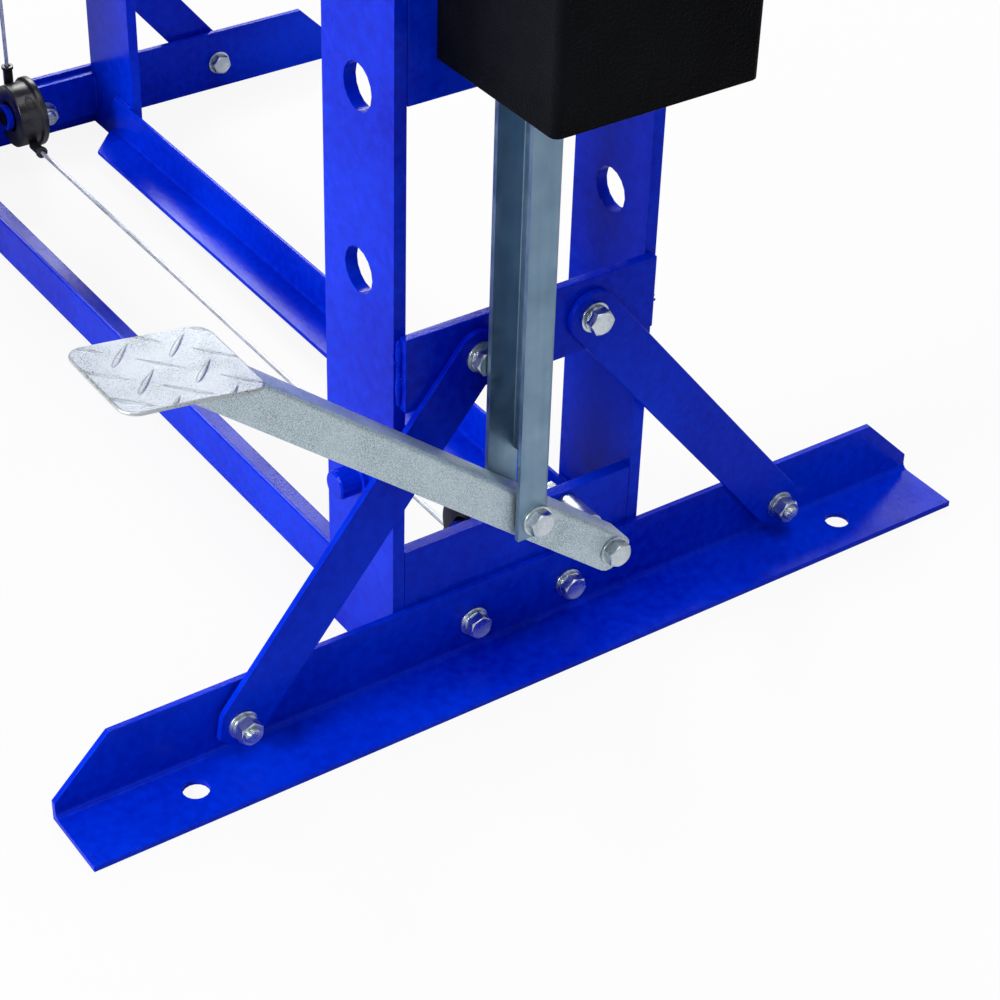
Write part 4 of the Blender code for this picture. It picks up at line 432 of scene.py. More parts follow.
@dataclass(frozen=True)
class PowderCoat(Finish):
    """Glossy powder coat: two close tones, orange peel, a few specks and thin dusty patches."""

    dark: Point = (0.0, 0.006, 0.36, 1)
    light: Point = (0.0, 0.028, 0.64, 1)
    dust: Point = (0.10, 0.14, 0.60, 1)
    gloss: float = 0.20
    peel_scale: float = 520.0
    peel_depth: float = 0.00030
    reflection: Point = (0.7, 0.74, 1.0, 1)
    specular: float = 0.06
    mottle: float = 0.45

    def build(self, graph: Graph) -> Material:
        """Tone from wide and medium noise, peel from fine noise, specks from sparse cells."""
        mottle = graph.sum(graph.noise(130.0, 3.0), self.mottle, "MULTIPLY")
        share = graph.between(graph.sum(graph.noise(5.0), mottle), 0.50, 0.95)
        tone = graph.mixed(share, self.dark, self.light)
        specks = graph.between(graph.cells(140.0), 0.055, 0.035)
        scattered = graph.sum(specks, graph.between(graph.noise(22.0), 0.60, 0.70), "MULTIPLY")
        colour = graph.mixed(graph.sum(scattered, 0.55, "MULTIPLY"), tone, self.dust)
        fine = graph.noise(self.peel_scale, 1.0)
        peel = graph.sum(fine, graph.sum(graph.noise(170.0, 1.0), 0.6, "MULTIPLY"))
        roughness = graph.varied(14.0, 4.0, self.gloss - 0.05, self.gloss + 0.08)
        return graph.set(
            Base_Color=colour, Roughness=roughness, Normal=graph.bump(peel, self.peel_depth, 0.5),
            Specular_IOR_Level=self.specular, Specular_Tint=self.reflection,
        )


@dataclass(frozen=True)
class TexturedPaint(Finish):
    """Satin black paint with a fine wrinkled grain."""

    dark: Point = (0.0010, 0.0012, 0.0020, 1)
    light: Point = (0.0040, 0.0044, 0.0062, 1)
    grain_scale: float = 760.0
    grain_depth: float = 0.00045
    roughness: float = 0.36
    specular: float = 0.025

    def build(self, graph: Graph) -> Material:
        """Grain from fine noise over cells, tone from wide noise."""
        grain = graph.sum(graph.noise(self.grain_scale, 2.0), graph.cells(self.grain_scale * 0.7))
        tone = graph.mixed(graph.between(graph.noise(9.0, 3.0), 0.3, 0.7), self.dark, self.light)
        sheen = graph.varied(60.0, 3.0, self.roughness - 0.07, self.roughness + 0.1)
        return graph.set(
            Base_Color=tone, Roughness=sheen, Normal=graph.bump(grain, self.grain_depth, 0.8),
            Specular_IOR_Level=self.specular,
        )


@dataclass(frozen=True)
class ZincPlate(Finish):
    """Bright zinc: bluish metal with cloudy patches and fine rolling lines along one axis."""

    dark: Point = (0.32, 0.38, 0.43, 1)
    light: Point = (0.76, 0.82, 0.86, 1)
    stretch: Point = (1.0, 1.0, 1.0)
    line_scale: float = 420.0
    line_depth: float = 0.00004
    roughness: float = 0.27

    def build(self, graph: Graph) -> Material:
        """Cloud noise for tone and stretched noise for rolling lines."""
        lines = graph.noise(self.line_scale, 3.0, graph.stretched(self.stretch))
        clouds = graph.sum(graph.noise(28.0, 4.0), graph.sum(lines, 0.35, "MULTIPLY"))
        colour = graph.mixed(graph.between(clouds, 0.45, 0.9), self.dark, self.light)
        spread = graph.varied(75.0, 3.0, self.roughness - 0.08, self.roughness + 0.12)
        return graph.set(
            Base_Color=colour, Metallic=1.0, Roughness=spread, Normal=graph.bump(lines, self.line_depth, 0.7)
        )


@dataclass(frozen=True)
class HotDipZinc(Finish):
    """Galvanised steel: pale grey with a dense salt-and-pepper speckle and shallow pits."""

    dark: Point = (0.13, 0.20, 0.24, 1)
    light: Point = (0.60, 0.70, 0.76, 1)
    speckle_scale: float = 1000.0
    pit_depth: float = 0.00022
    roughness: float = 0.42
    metal: float = 0.80
    # Strength of the painted highlight: wide noise lightens patches of the base colour, standing in for the
    # glare of the lamps.
    painted_glare: float = 0.0

    def build(self, graph: Graph) -> Material:
        """Speckle from cells and noise together, blooms from wide noise, and light patches from wide noise
        that are painted highlights standing in for lamp reflections.
        """
        speckle = graph.sum(graph.cells(self.speckle_scale), graph.noise(self.speckle_scale * 1.6, 2.0))
        bloom = graph.sum(graph.noise(30.0, 4.0), 0.5, "MULTIPLY")
        # Painted highlight: wide noise lightens patches of the base colour, standing in for lamp glare.
        wide = graph.between(graph.noise(24.0, 2.0), 0.40, 0.66, 0.0, self.painted_glare)
        share = graph.sum(graph.between(graph.sum(speckle, bloom), 0.75, 1.35), wide)
        roughness = graph.between(speckle, 0.5, 1.2, self.roughness - 0.08, self.roughness + 0.15)
        return graph.set(
            Base_Color=graph.mixed(share, self.dark, self.light), Metallic=self.metal, Roughness=roughness,
            Normal=graph.bump(speckle, self.pit_depth, 0.45),
        )


@dataclass(frozen=True)
class GroundSteel(Finish):
    """Machined or ground bare steel with fine turning lines and faint oil stains."""

    dark: Point = (0.22, 0.22, 0.22, 1)
    light: Point = (0.52, 0.52, 0.53, 1)
    roughness: float = 0.32
    line_depth: float = 0.00005

    def build(self, graph: Graph) -> Material:
        """Lines from noise pressed flat along Z, stains from wide noise."""
        lines = graph.noise(90.0, 4.0, graph.stretched((1.0, 1.0, 30.0)))
        stains = graph.sum(graph.noise(18.0, 5.0), graph.sum(lines, 0.4, "MULTIPLY"))
        colour = graph.mixed(graph.between(stains, 0.45, 0.95), self.dark, self.light)
        spread = graph.between(stains, 0.4, 1.0, self.roughness + 0.1, self.roughness - 0.1)
        return graph.set(
            Base_Color=colour, Metallic=1.0, Roughness=spread, Normal=graph.bump(lines, self.line_depth, 0.8)
        )


@dataclass(frozen=True)
class MouldedPlastic(Finish):
    """Black moulded plastic or rubber with a faint sheen, flow marks and rubbed patches."""

    dark: Point = (0.006, 0.006, 0.007, 1)
    light: Point = (0.035, 0.034, 0.033, 1)
    grain_scale: float = 700.0
    grain_depth: float = 0.00008
    roughness: float = 0.30

    def build(self, graph: Graph) -> Material:
        """Rubbed patches from medium noise, grain from fine noise."""
        rubbed = graph.between(graph.noise(55.0, 5.0), 0.48, 0.75)
        colour = graph.mixed(rubbed, self.dark, self.light)
        spread = graph.varied(40.0, 4.0, self.roughness - 0.06, self.roughness + 0.18)
        grain = graph.noise(self.grain_scale, 3.0)
        return graph.set(
            Base_Color=colour, Roughness=spread, Normal=graph.bump(grain, self.grain_depth, 0.6),
            Specular_IOR_Level=0.5,
        )


@dataclass(frozen=True)
class DialPrint(Finish):
    """White enamel of the gauge's dial, faintly uneven, or a plain ink for its marks."""

    colour: Point = (0.82, 0.82, 0.79, 1)
    shade: Point = (0.70, 0.70, 0.66, 1)

    def build(self, graph: Graph) -> Material:
        """Two close tones from wide noise, with a fine print grain."""
        tone = graph.mixed(graph.between(graph.noise(70.0, 3.0), 0.3, 0.7), self.colour, self.shade)
        roughness = graph.varied(200.0, 2.0, 0.35, 0.5)
        grain = graph.bump(graph.noise(1500.0), 0.00002, 0.5)
        return graph.set(Base_Color=tone, Roughness=roughness, Normal=grain)


BLUE = PowderCoat("blue_powder_coat", Slot.BLUE_PAINT)
BLACK = TexturedPaint("black_textured_paint", Slot.BLACK_PAINT)
BOLT_ZINC = ZincPlate("bright_zinc")
ROD_ZINC = ZincPlate(
    "zinc_rolled_upright", dark=(0.17, 0.27, 0.38, 1), light=(0.24, 0.35, 0.46, 1),
    stretch=(1.0, 1.0, 0.03), line_scale=240.0, line_depth=0.00001, roughness=0.42,
)
LEVER_ZINC = HotDipZinc("galvanised_speckle")
# The tread plate's base colour carries patches of painted highlight that stand in for lamp glare.
PLATE_ZINC = HotDipZinc(
    "galvanised_tread", dark=(0.10, 0.13, 0.14, 1), light=(0.50, 0.54, 0.55, 1), speckle_scale=850.0,
    pit_depth=0.00030, roughness=0.34, metal=0.75, painted_glare=0.6,
)
ROPE_ZINC = ZincPlate(
    "rope_zinc", Slot.STEEL_ROPE, dark=(0.50, 0.54, 0.56, 1), light=(0.84, 0.88, 0.90, 1), roughness=0.55
)
STEEL = GroundSteel("machined_steel_bare", Slot.MACHINED_STEEL)
CHROME = GroundSteel(
    "ram_chrome", Slot.HARD_CHROME, dark=(0.55, 0.56, 0.58, 1), light=(0.72, 0.73, 0.75, 1), roughness=0.14
)
IRON = TexturedPaint(
    "cast_pump_iron", Slot.CAST_PUMP, dark=(0.02, 0.02, 0.021, 1), light=(0.06, 0.06, 0.062, 1),
    grain_scale=350.0,
)
PLASTIC = MouldedPlastic("black_moulding", Slot.BLACK_PLASTIC)
RUBBER = MouldedPlastic(
    "black_rubber", Slot.BLACK_PAINT, grain_scale=420.0, grain_depth=0.0002, roughness=0.55
)
DIAL = DialPrint("dial_enamel", Slot.BLACK_PAINT)
INK = DialPrint("dial_ink", Slot.BLACK_PAINT, colour=(0.01, 0.01, 0.01, 1), shade=(0.02, 0.02, 0.02, 1))
RED = DialPrint("needle_enamel", Slot.NEEDLE_RED, colour=(0.55, 0.01, 0.01, 1), shade=(0.42, 0.008, 0.008, 1))

SLOT_FINISH: dict[Slot, Finish] = {
    finish.slot: finish for finish in (BLUE, BLACK, CHROME, STEEL, BOLT_ZINC, ROPE_ZINC, PLASTIC, IRON, RED)
}


# Rounded copies of the CAD plates and bars

@dataclass
class EdgeRounding:
    """Gives copies of the CAD's plates, bars and housings the rounded edges of real stock."""

    angle: float = 38.0
    segments: int = 3

    def soften(self, node: str, width: float, finish: Finish | None = None) -> Item:
        """Replaces a CAD node by a merged copy with rounded edges and flat faces kept flat.

        Args:
            node: The CAD node.
            width: Width of the rounding, in metres.
            finish: Its finish, or None for that of its slot.

        Returns:
            The copy.
        """
        source = frame["nodes"][node]
        slot = node_slots()[node]
        shell = bmesh.new()
        shell.from_mesh(source.data)
        bmesh.ops.remove_doubles(shell, verts=shell.verts, dist=WELD)
        bmesh.ops.dissolve_limit(
            shell, angle_limit=math.radians(1.0), verts=shell.verts, edges=shell.edges,
            use_dissolve_boundaries=False,
        )
        mesh = bpy.data.meshes.new(node + "_shown")
        shell.to_mesh(mesh)
        shell.free()
        mesh.shade_smooth()
        item = linked(node + "_shown", mesh)
        rounding = item.modifiers.new("rounded edges", "BEVEL")
        rounding.width = width
        rounding.segments = self.segments
        rounding.limit_method = "ANGLE"
        rounding.angle_limit = math.radians(self.angle)
        item.modifiers.new("flat faces", "WEIGHTED_NORMAL").keep_sharp = True
        dressed(item, source["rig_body"], finish or SLOT_FINISH[slot])
        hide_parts(node)
        return item

    def soften_all(self, **widths: float) -> None:
        """Rounds several nodes, each by its own width and in its slot's finish."""
        for node, width in widths.items():
            self.soften(node, width)


def node_slots() -> dict[str, Slot]:
    """Material slot of each CAD node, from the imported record."""
    return {entry["node"]: Slot(entry["material_slot"]) for entry in frame["record"]["subparts"]}


# Fasteners

@dataclass(frozen=True)
class ThreadSize:
    """Sizes that go with one metric thread."""

    diameter: float
    flats: float
    head: float
    nut: float
    washer: float
    washer_thickness: float
    ring: float
    ring_thickness: float
    pitch: float


M12 = ThreadSize(0.012, 0.018, 0.0075, 0.010, 0.024, 0.0020, 0.0205, 0.0026, 0.00175)
M20 = ThreadSize(0.020, 0.030, 0.0125, 0.016, 0.036, 0.0030, 0.0340, 0.0040, 0.0025)


@dataclass
class FastenerStack:
    """Washer, split ring and hexagon at one end of a bolt, built up from a flat face."""

    spot: Point
    way: Point
    end: FastenerEnd = FastenerEnd.HEAD
    size: ThreadSize = M12
    spin: float = 0.3
    sprung: bool = True

    def hexagon(self, height: float, both: bool, steps: int = 72) -> Grid:
        """Hexagon whose corners are cut by a 30 degree cone.

        Radius of the flats at angle t is half the flats over cos of t's distance from the nearest flat;
        above the cone's circle the top falls by (radius - circle) tan 30.
        """
        turn = angles(steps)
        flat = self.size.flats / 2 / np.cos((turn + math.pi / 6) % (math.pi / 3) - math.pi / 6)
        circle = 0.955 * self.size.flats / 2
        share = np.linspace(0, 1, 5)[:, None]
        shoulder = circle + (flat - circle) * share
        drop = (shoulder - circle) * math.tan(math.pi / 6)
        hub = np.array([0.0, 0.86, 0.97])[:, None] * circle * np.ones_like(turn)
        dish = np.array([0.03, 0.03, 0.0])[:, None] * self.size.head * np.ones_like(turn)
        top_radius, top_height = np.concatenate([hub, shoulder]), height - np.concatenate([dish, drop])
        low_height = drop[::-1] if both else 0 * drop[-1:]
        low_radius = shoulder[::-1] if both else shoulder[-1:]
        radius = np.concatenate([top_radius, low_radius, hub[::-1]])
        heights = np.concatenate([top_height, low_height, 0 * hub])
        return polar(radius, turn, heights)

    def split_ring(self, steps: int = 60) -> Grid:
        """Spring washer: a rounded square section carried round a circle with a narrow slit left open."""
        size = self.size
        inner = size.diameter / 2 * 1.04
        width = size.ring / 2 - inner
        section = np.array([(0, 0), (1, 0), (1, 1), (0, 1), (0, 0)], float)
        section = eased(section, 0.22, 3)[1:-1] * (width, size.ring_thickness)
        turn = np.linspace(0.05, TAU - 0.12, steps)[:, None]
        radius = inner + section[None, :, 0]
        rise = section[None, :, 1] + 0 * turn
        grid = polar(radius, turn, rise)
        return capped(grid, grid[0].mean(axis=0), grid[-1].mean(axis=0))

    def thread_end(self, height: float) -> Grid:
        """End of the thread: radius falls by a sine of height over pitch less the angle, tip chamfered."""
        size, steps = self.size, 36
        turn = angles(steps)[None]
        rise = np.linspace(0, 1, 40)[:, None] * height
        wave = 0.5 + 0.5 * np.cos(TAU * rise / size.pitch - turn)
        tip = np.clip((height - rise) / (0.6 * size.pitch), 0.78, 1)
        radius = (size.diameter / 2 - 0.28 * size.pitch * wave) * tip
        radius = np.concatenate([0 * turn, radius, 0 * turn])
        rise = np.concatenate([rise[:1], rise, rise[-1:]]) + 0 * turn
        return polar(radius, turn, rise)

    def add_to(self, shape: Shape) -> None:
        """Adds the stack's grids to a shape, in place."""
        size = self.size
        edge, bore, thick = size.washer / 2, size.diameter / 2 * 1.06, size.washer_thickness
        parts = [(flat_ring(bore, edge, thick, 56), 0.0)]
        level = thick
        if self.sprung:
            parts.append((self.split_ring(), level))
            level += size.ring_thickness
        if self.end is FastenerEnd.HEAD:
            parts.append((self.hexagon(size.head, False), level))
        else:
            parts.append((self.hexagon(size.nut, True), level))
            parts.append((self.thread_end(0.0035), level + size.nut - 0.0004))
        for grid, height in parts:
            lifted = grid + np.array([0, 0, height])
            shape.add(placed(lifted, self.spot, self.way, self.spin))


def bolted(
    shape: Shape, outer: Point, inner: Point, way: Point, spin: float,
    outside: FastenerEnd = FastenerEnd.HEAD, size: ThreadSize = M12, sprung: bool = True,
) -> None:
    """Adds both ends of a bolt to a shape; the inner end has no spring washer.

    Args:
        shape: Takes the grids.
        outer: Where the outer washer lies.
        inner: Where the inner washer lies.
        way: Outward direction.
        spin: Turn of the outer hexagon, in radians.
        outside: What shows at the outer end; the other kind shows inside.
        size: Thread size.
        sprung: Whether the outer end has a spring washer.
    """
    inside = FastenerEnd.NUT if outside is FastenerEnd.HEAD else FastenerEnd.HEAD
    FastenerStack(outer, way, outside, size, spin, sprung).add_to(shape)
    FastenerStack(inner, [-part for part in way], inside, size, sprung=False).add_to(shape)


# Weld beads

@dataclass
class WeldBead:
    """A fillet weld along a straight seam, with its ripples and a few drops of spatter."""

    start: Point
    end: Point
    radius: float = 0.0030
    ripple: float = 0.0024
    drops: int = 7

    def add_to(self, shape: Shape) -> None:
        """Adds the bead: radius = size (1 + ripples + slow waves), drawn to nothing at both ends."""
        start, end = np.asarray(self.start, float), np.asarray(self.end, float)
        length = float(np.linalg.norm(end - start))
        rows = max(12, int(length / self.ripple * 5))
        t = np.linspace(0, 1, rows)
        along = t * length
        pulse = np.abs(np.sin(math.pi * along / self.ripple)) ** 0.7
        slow = np.sin(along * 190 + start.sum() * 40) + 0.6 * np.sin(along * 431 + 1.3)
        taper = np.clip(np.minimum(along, length - along) / (1.2 * self.radius), 0, 1) ** 0.5
        radius = self.radius * (0.86 + 0.10 * pulse + 0.09 * slow) * taper + 1e-5
        side = unit(np.cross(end - start, (0.31, 0.52, 0.79)))
        wander = side * (0.0004 * np.sin(along * 260 + 0.7))[:, None]
        shape.add(swept(start + t[:, None] * (end - start) + wander, radius, side, 14))
        for step in range(self.drops):
            share = (step * 0.618 + 0.21) % 1
            push = unit(np.cross(end - start, (math.cos(step * 2.4), math.sin(step * 2.4), 0.3)))
            size = 0.0007 + 0.0005 * ((step * 0.37) % 1)
            turn = np.linspace(0, math.pi, 5)
            ball = lathe(np.stack([size * np.sin(turn), size * np.cos(turn)], axis=-1), 8)
            reach = self.radius * (1.05 + 0.5 * ((step * 0.53) % 1))
            shape.add(ball + start + share * (end - start) + push * reach)


# Sub-assemblies

@dataclass
class FrameSides:
    """Posts, feet, cross plates, braces and rails, with their bolts and welds."""

    edge: float = 0.0011
    post_x: float = 0.4553
    foot_face: float = 0.4606
    foot_back: float = 0.4456
    brace_face: float = 0.4689
    brace_back: float = 0.4639
    foot_bolt: Point = (0.044, 0.030)
    brace_low: Point = (0.249, 0.029)
    brace_high: Point = (0.049, 0.275)
    head_bolts: Sequence[float] = (1.590, 1.650)
    head_bolt_x: float = BOLT_LINE_X
    head_face: float = 0.1126
    head_back: float = 0.0943

    def nodes(self) -> dict[str, float]:
        """Rounding width of each plate and bar."""
        widths = {"rail_front": 0.0012, "rail_rear": 0.0012, "head_seat_plate": 0.0015}
        widths.update({"head_beam_front": 0.0015, "head_beam_rear": 0.0015})
        for side in ("right", "left"):
            widths["foot_" + side] = 0.0013
            widths.update({"low_plate_" + side: self.edge, "mid_plate_" + side: self.edge})
            for end in ("front", "rear"):
                widths.update({f"post_{side}_{end}": 0.0016, f"brace_{side}_{end}": 0.0012})
        return widths

    def fasteners(self, side: int) -> Shape:
        """Bolt ends of one side, outside and inside."""
        shape = Shape()
        out = (side, 0, 0)
        gap = self.brace_back - self.foot_face
        for end in (-1, 1):
            y, z = end * self.foot_bolt[0], self.foot_bolt[1]
            bolted(shape, (side * self.foot_face, y, z), (side * self.foot_back, y, z), out, 0.2 * end)
            y, z = end * self.brace_low[0], self.brace_low[1]
            outer, inner = (side * self.brace_face, y, z), (side * self.post_x, y, z)
            bolted(shape, outer, inner, out, 0.1 + 0.3 * end, FastenerEnd.NUT)
            packing = flat_ring(M12.diameter / 2, M12.washer / 2, gap, 48)
            shape.add(placed(packing, (side * self.foot_face, y, z), out))
            y, z = end * self.brace_high[0], self.brace_high[1]
            bolted(shape, (side * self.brace_face, y, z), (side * self.post_x, y, z), out, 0.5 * end)
        return shape

    def head_fasteners(self) -> Shape:
        """Large bolts through the head beams and the posts."""
        shape = Shape()
        for side, end, height in product((-1, 1), (-1, 1), self.head_bolts):
            x, spin = side * self.head_bolt_x, 0.4 * side + height
            outer, inner = (x, end * self.head_face, height), (x, end * self.head_back, height)
            bolted(shape, outer, inner, (0, end, 0), spin, size=M20)
        return shape

    def welds(self, side: int) -> Shape:
        """Seams of the cross plates, the rails and the pump plate."""
        shape = Shape()
        for end in (-1, 1):
            x, y = side * (self.post_x + 0.0010), end * 0.1088
            WeldBead((x, y, 0.2462), (x, y, 0.3020), 0.0027, drops=11).add_to(shape)
            x, y = side * 0.4448, end * 0.1018
            low_plate_top = 0.112 if side > 0 else 0.056
            WeldBead((x, y, 0.018), (x, y, low_plate_top), 0.0026).add_to(shape)
            y, z = end * 0.1020, 0.0536
            WeldBead((side * 0.3990, y, z), (side * 0.3668, y, z), 0.0022, drops=4).add_to(shape)
        return shape

    def build(self) -> None:
        """Rounds the bars and adds bolts and welds."""
        EdgeRounding().soften_all(**self.nodes())
        for side in Sides:
            name = side.name.lower()
            self.fasteners(side.value).piece("bolts_" + name, "frame", BOLT_ZINC, sharp=30)
            self.welds(side.value).piece("welds_" + name, "frame", BLUE, sharp=60)
        self.head_fasteners().piece("head_bolts", "frame", BOLT_ZINC, sharp=30)


@dataclass
class TreadPlate:
    """The pedal's tread plate: rounded corners, raised drops in two directions and a slight bend.

    The first family of drops passes through the place (-drop_start, 0) of the plate.
    """

    centre: Point = (PUMP_AXIS_X, -0.3094, 0.3740)
    half: Point = (0.0425, 0.0505)
    thickness: float = 0.0030
    corner: float = 0.012
    tilt: float = math.radians(8)
    drop_length: float = 0.0165
    drop_width: float = 0.0019
    drop_height: float = 0.0008
    row_pitch: float = 0.0400
    column_pitch: float = 0.0345
    drop_start: float = 0.0067

    def tread(self, a: Grid, b: Grid) -> Grid:
        """Height of the raised drops at a place on the plate.

        Each drop is a half lens: height sqrt(1 - (along/length)^2 - (across/width)^2), its width
        narrowing from one end to the other; the two families lie at right angles in turn.
        """
        height = np.zeros_like(a)
        for heading, shift_a, shift_b in ((math.radians(-48), 0.0, 0.0), (math.radians(-137), 0.5, 0.5)):
            column = np.round((a + self.drop_start) / self.column_pitch - shift_a)
            row = np.round(b / self.row_pitch - shift_b)
            da = a + self.drop_start - (column + shift_a) * self.column_pitch
            db = b - (row + shift_b) * self.row_pitch
            along = da * math.cos(heading) + db * math.sin(heading)
            across = -da * math.sin(heading) + db * math.cos(heading)
            width = self.drop_width * (1.0 - 0.45 * along / self.drop_length)
            lens = 1 - (along / self.drop_length) ** 2 - (across / width) ** 2
            height = np.maximum(height, self.drop_height * np.sqrt(np.clip(lens, 0, 1)))
        return height

    def surface(self) -> Grid:
        """Polar grid: rows run from the middle of the top to the rim, round it and back under."""
        turn = angles(420)
        edge = rounded_reach(turn, self.half, self.corner)
        fall = self.thickness / 2
        share = np.linspace(0, 1, 150) ** 0.85
        flat = share[:, None] * (edge - fall)
        bend = np.linspace(0, math.pi, 9)[1:-1, None]
        rim = edge - fall + fall * np.sin(bend)
        under = np.array([1.0, 0.6, 0.0])[:, None] * (edge - fall)
        reach = np.concatenate([flat, rim, under])
        a, b = reach * np.cos(turn), reach * np.sin(turn)
        top = np.full_like(flat, fall)
        sides = fall * np.cos(bend) + 0 * turn
        lift = np.concatenate([top, sides, np.full_like(under, -fall)])
        margin = np.clip((1 - share)[:, None] * 30, 0, 1)
        lift[: len(share)] += self.tread(a[: len(share)], b[: len(share)]) * margin
        u, v = a / self.half[0], b / self.half[1]
        lift += 0.0006 * (u * u - v * v) - 0.0010 * np.clip(u, 0, 1) * np.clip(-v, 0, 1)
        return np.stack([a, b, lift], axis=-1)

    def build(self) -> None:
        """Stands the plate on the foot lever."""
        grid = self.surface()
        cosine, sine = math.cos(self.tilt), math.sin(self.tilt)
        axes = np.array([[1, 0, 0], [0, -cosine, sine], [0, sine, cosine]])
        shape = Shape.of(np.asarray(self.centre) + grid @ axes)
        shape.piece("tread_plate", "pedal", PLATE_ZINC, "pedal_plate", 40)


@dataclass
class PedalLinkage:
    """Foot lever, push rod and their two bolts."""

    rod_face: float = 0.5257
    lever_face: float = 0.5190
    rod_bolt: Point = (-0.03649, 0.16320)
    pivot: Point = (0.041, 0.100)
    far_rod_face: float = 0.4817
    shank: float = 0.006
    sleeve: float = 0.012
    sleeve_ends: Point = (0.4556, 0.4884)
    pivot_nut_face: float = 0.4450

    def build(self) -> None:
        """Rounds the two channels and makes the bolts."""
        rounding = EdgeRounding()
        rounding.soften("foot_lever", 0.0011, LEVER_ZINC)
        rounding.soften("push_rod", 0.0009, ROD_ZINC)
        out = (1, 0, 0)
        bolt, pivot = Shape(), Shape()
        near, far = (self.rod_face, *self.rod_bolt), (self.far_rod_face, *self.rod_bolt)
        bolted(bolt, near, far, out, 0.25, sprung=False)
        bolt.add(self.bar(self.shank, self.rod_face - self.far_rod_face, far))
        bolt.piece("rod_bolt", "pedal", BOLT_ZINC, "push_rod_bolt", 30)
        start = (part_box("pedal_pivot_bolt")[0][0], *self.pivot)
        near, far = (self.lever_face, *self.pivot), (self.pivot_nut_face, *self.pivot)
        bolted(pivot, near, far, out, 0.12, sprung=False)
        pivot.add(self.bar(self.shank, self.lever_face - start[0], start))
        first, last = self.sleeve_ends
        pivot.add(self.bar(self.sleeve, last - first, (first, *self.pivot), 0.0006, 48))
        pivot.piece("pivot_bolt", "frame", BOLT_ZINC, "pedal_pivot_bolt", 30)

    def bar(self, radius: float, length: float, start: Point, ease: float = 0.0, steps: int = 32) -> Grid:
        """A round bar that runs to the right from its start."""
        return turned(rod(radius, 0, length), steps, ease, 2, start, (1, 0, 0))


@dataclass
class Pump:
    """Pump plate, box, block, rocker, plunger, hand lever with its grip, and knob."""

    lever_start: Point = (0.600, 0.039, 0.640)
    lean: float = math.radians(42)
    grip_from: float = 0.338
    grip_length: float = 0.130
    grip_radius: float = 0.0158
    grip_end: float = 0.008
    rib_pitch: float = 0.0062
    flutes: int = 14

    def grip(self) -> Grid:
        """Ribbed rubber grip: radius falls by a raised cosine of the height over the rib's pitch."""
        rise = np.linspace(0, self.grip_length, 180)
        rib = 0.5 - 0.5 * np.cos(TAU * rise / self.rib_pitch)
        close = ((rise - self.grip_length + self.grip_end) / self.grip_end).clip(0, 1)
        end = np.sqrt(np.clip(1 - close ** 2, 0, 1))
        radius = (self.grip_radius - 0.0012 * rib ** 3) * np.maximum(end, 0.02)
        radius = np.concatenate([[0], radius, [0]])
        rise = np.concatenate([rise[:1], rise, rise[-1:]])
        return lathe(np.stack([radius, rise], axis=-1), 48)

    def hand_lever(self) -> None:
        """Round bar in its hub, with the weld between them, and the grip on the bar's end."""
        way = np.array([0, -math.sin(self.lean), math.cos(self.lean)])
        length = self.grip_from + 0.02
        bar = turned(rod(0.011, 0, length), 48, spot=self.lever_start, way=way)
        profile = rod(0.022, -0.010, 0.010)
        lever = Shape.of(bar, turned(profile, 64, 0.0012, 3, self.lever_start, (1, 0, 0)))
        root = self.lever_start + 0.0215 * way
        WeldBead(root + (-0.009, 0, 0), root + (0.009, 0, 0), radius=0.0022, drops=0).add_to(lever)
        lever.piece("lever_bar", "rocker", BLACK, "hand_lever")
        grip = placed(self.grip(), self.lever_start + self.grip_from * way, way)
        Shape.of(grip).piece("lever_grip", "rocker", RUBBER, sharp=60)

    def knob(self) -> Grid:
        """Valve knob: a turned profile whose rim is fluted by a squared raised cosine of the angle."""
        turn = angles(168)
        flute = 1 - 0.035 * (0.5 + 0.5 * np.cos(self.flutes * turn)) ** 2
        rim, neck = (0.0205, 0.014), 0.006
        profile = [(0, 0.0318), (rim[0], 0.0318), rim, (neck, rim[1]), (neck, -neck), (0, -neck)]
        profile = eased(profile, 0.0022, 4)
        radius = profile[:, :1] * np.where(profile[:, :1] > 0.015, flute[None], 1.0)
        rise = profile[:, 1:] + 0 * turn
        grid = polar(radius, turn, rise)
        return placed(grid, (0.545, -0.0805, 0.720), (0, -1, 0))

    def build(self) -> None:
        """Rounds the housings and turns the round pieces."""
        EdgeRounding().soften_all(
            pump_mounting_plate=0.0014, pump_box=0.0007, pump_block=0.0012, pump_rocker=0.0008
        )
        self.hand_lever()
        Shape.of(self.knob()).piece("knob_shown", "knob", PLASTIC, "valve_knob")
        profile = rod(0.008, 0.6506, 0.7706)
        plunger = turned(profile, 48, 0.001, 3, (PUMP_AXIS_X, 0.059, 0))
        Shape.of(plunger).piece("plunger_shown", "plunger", CHROME, "pump_plunger")


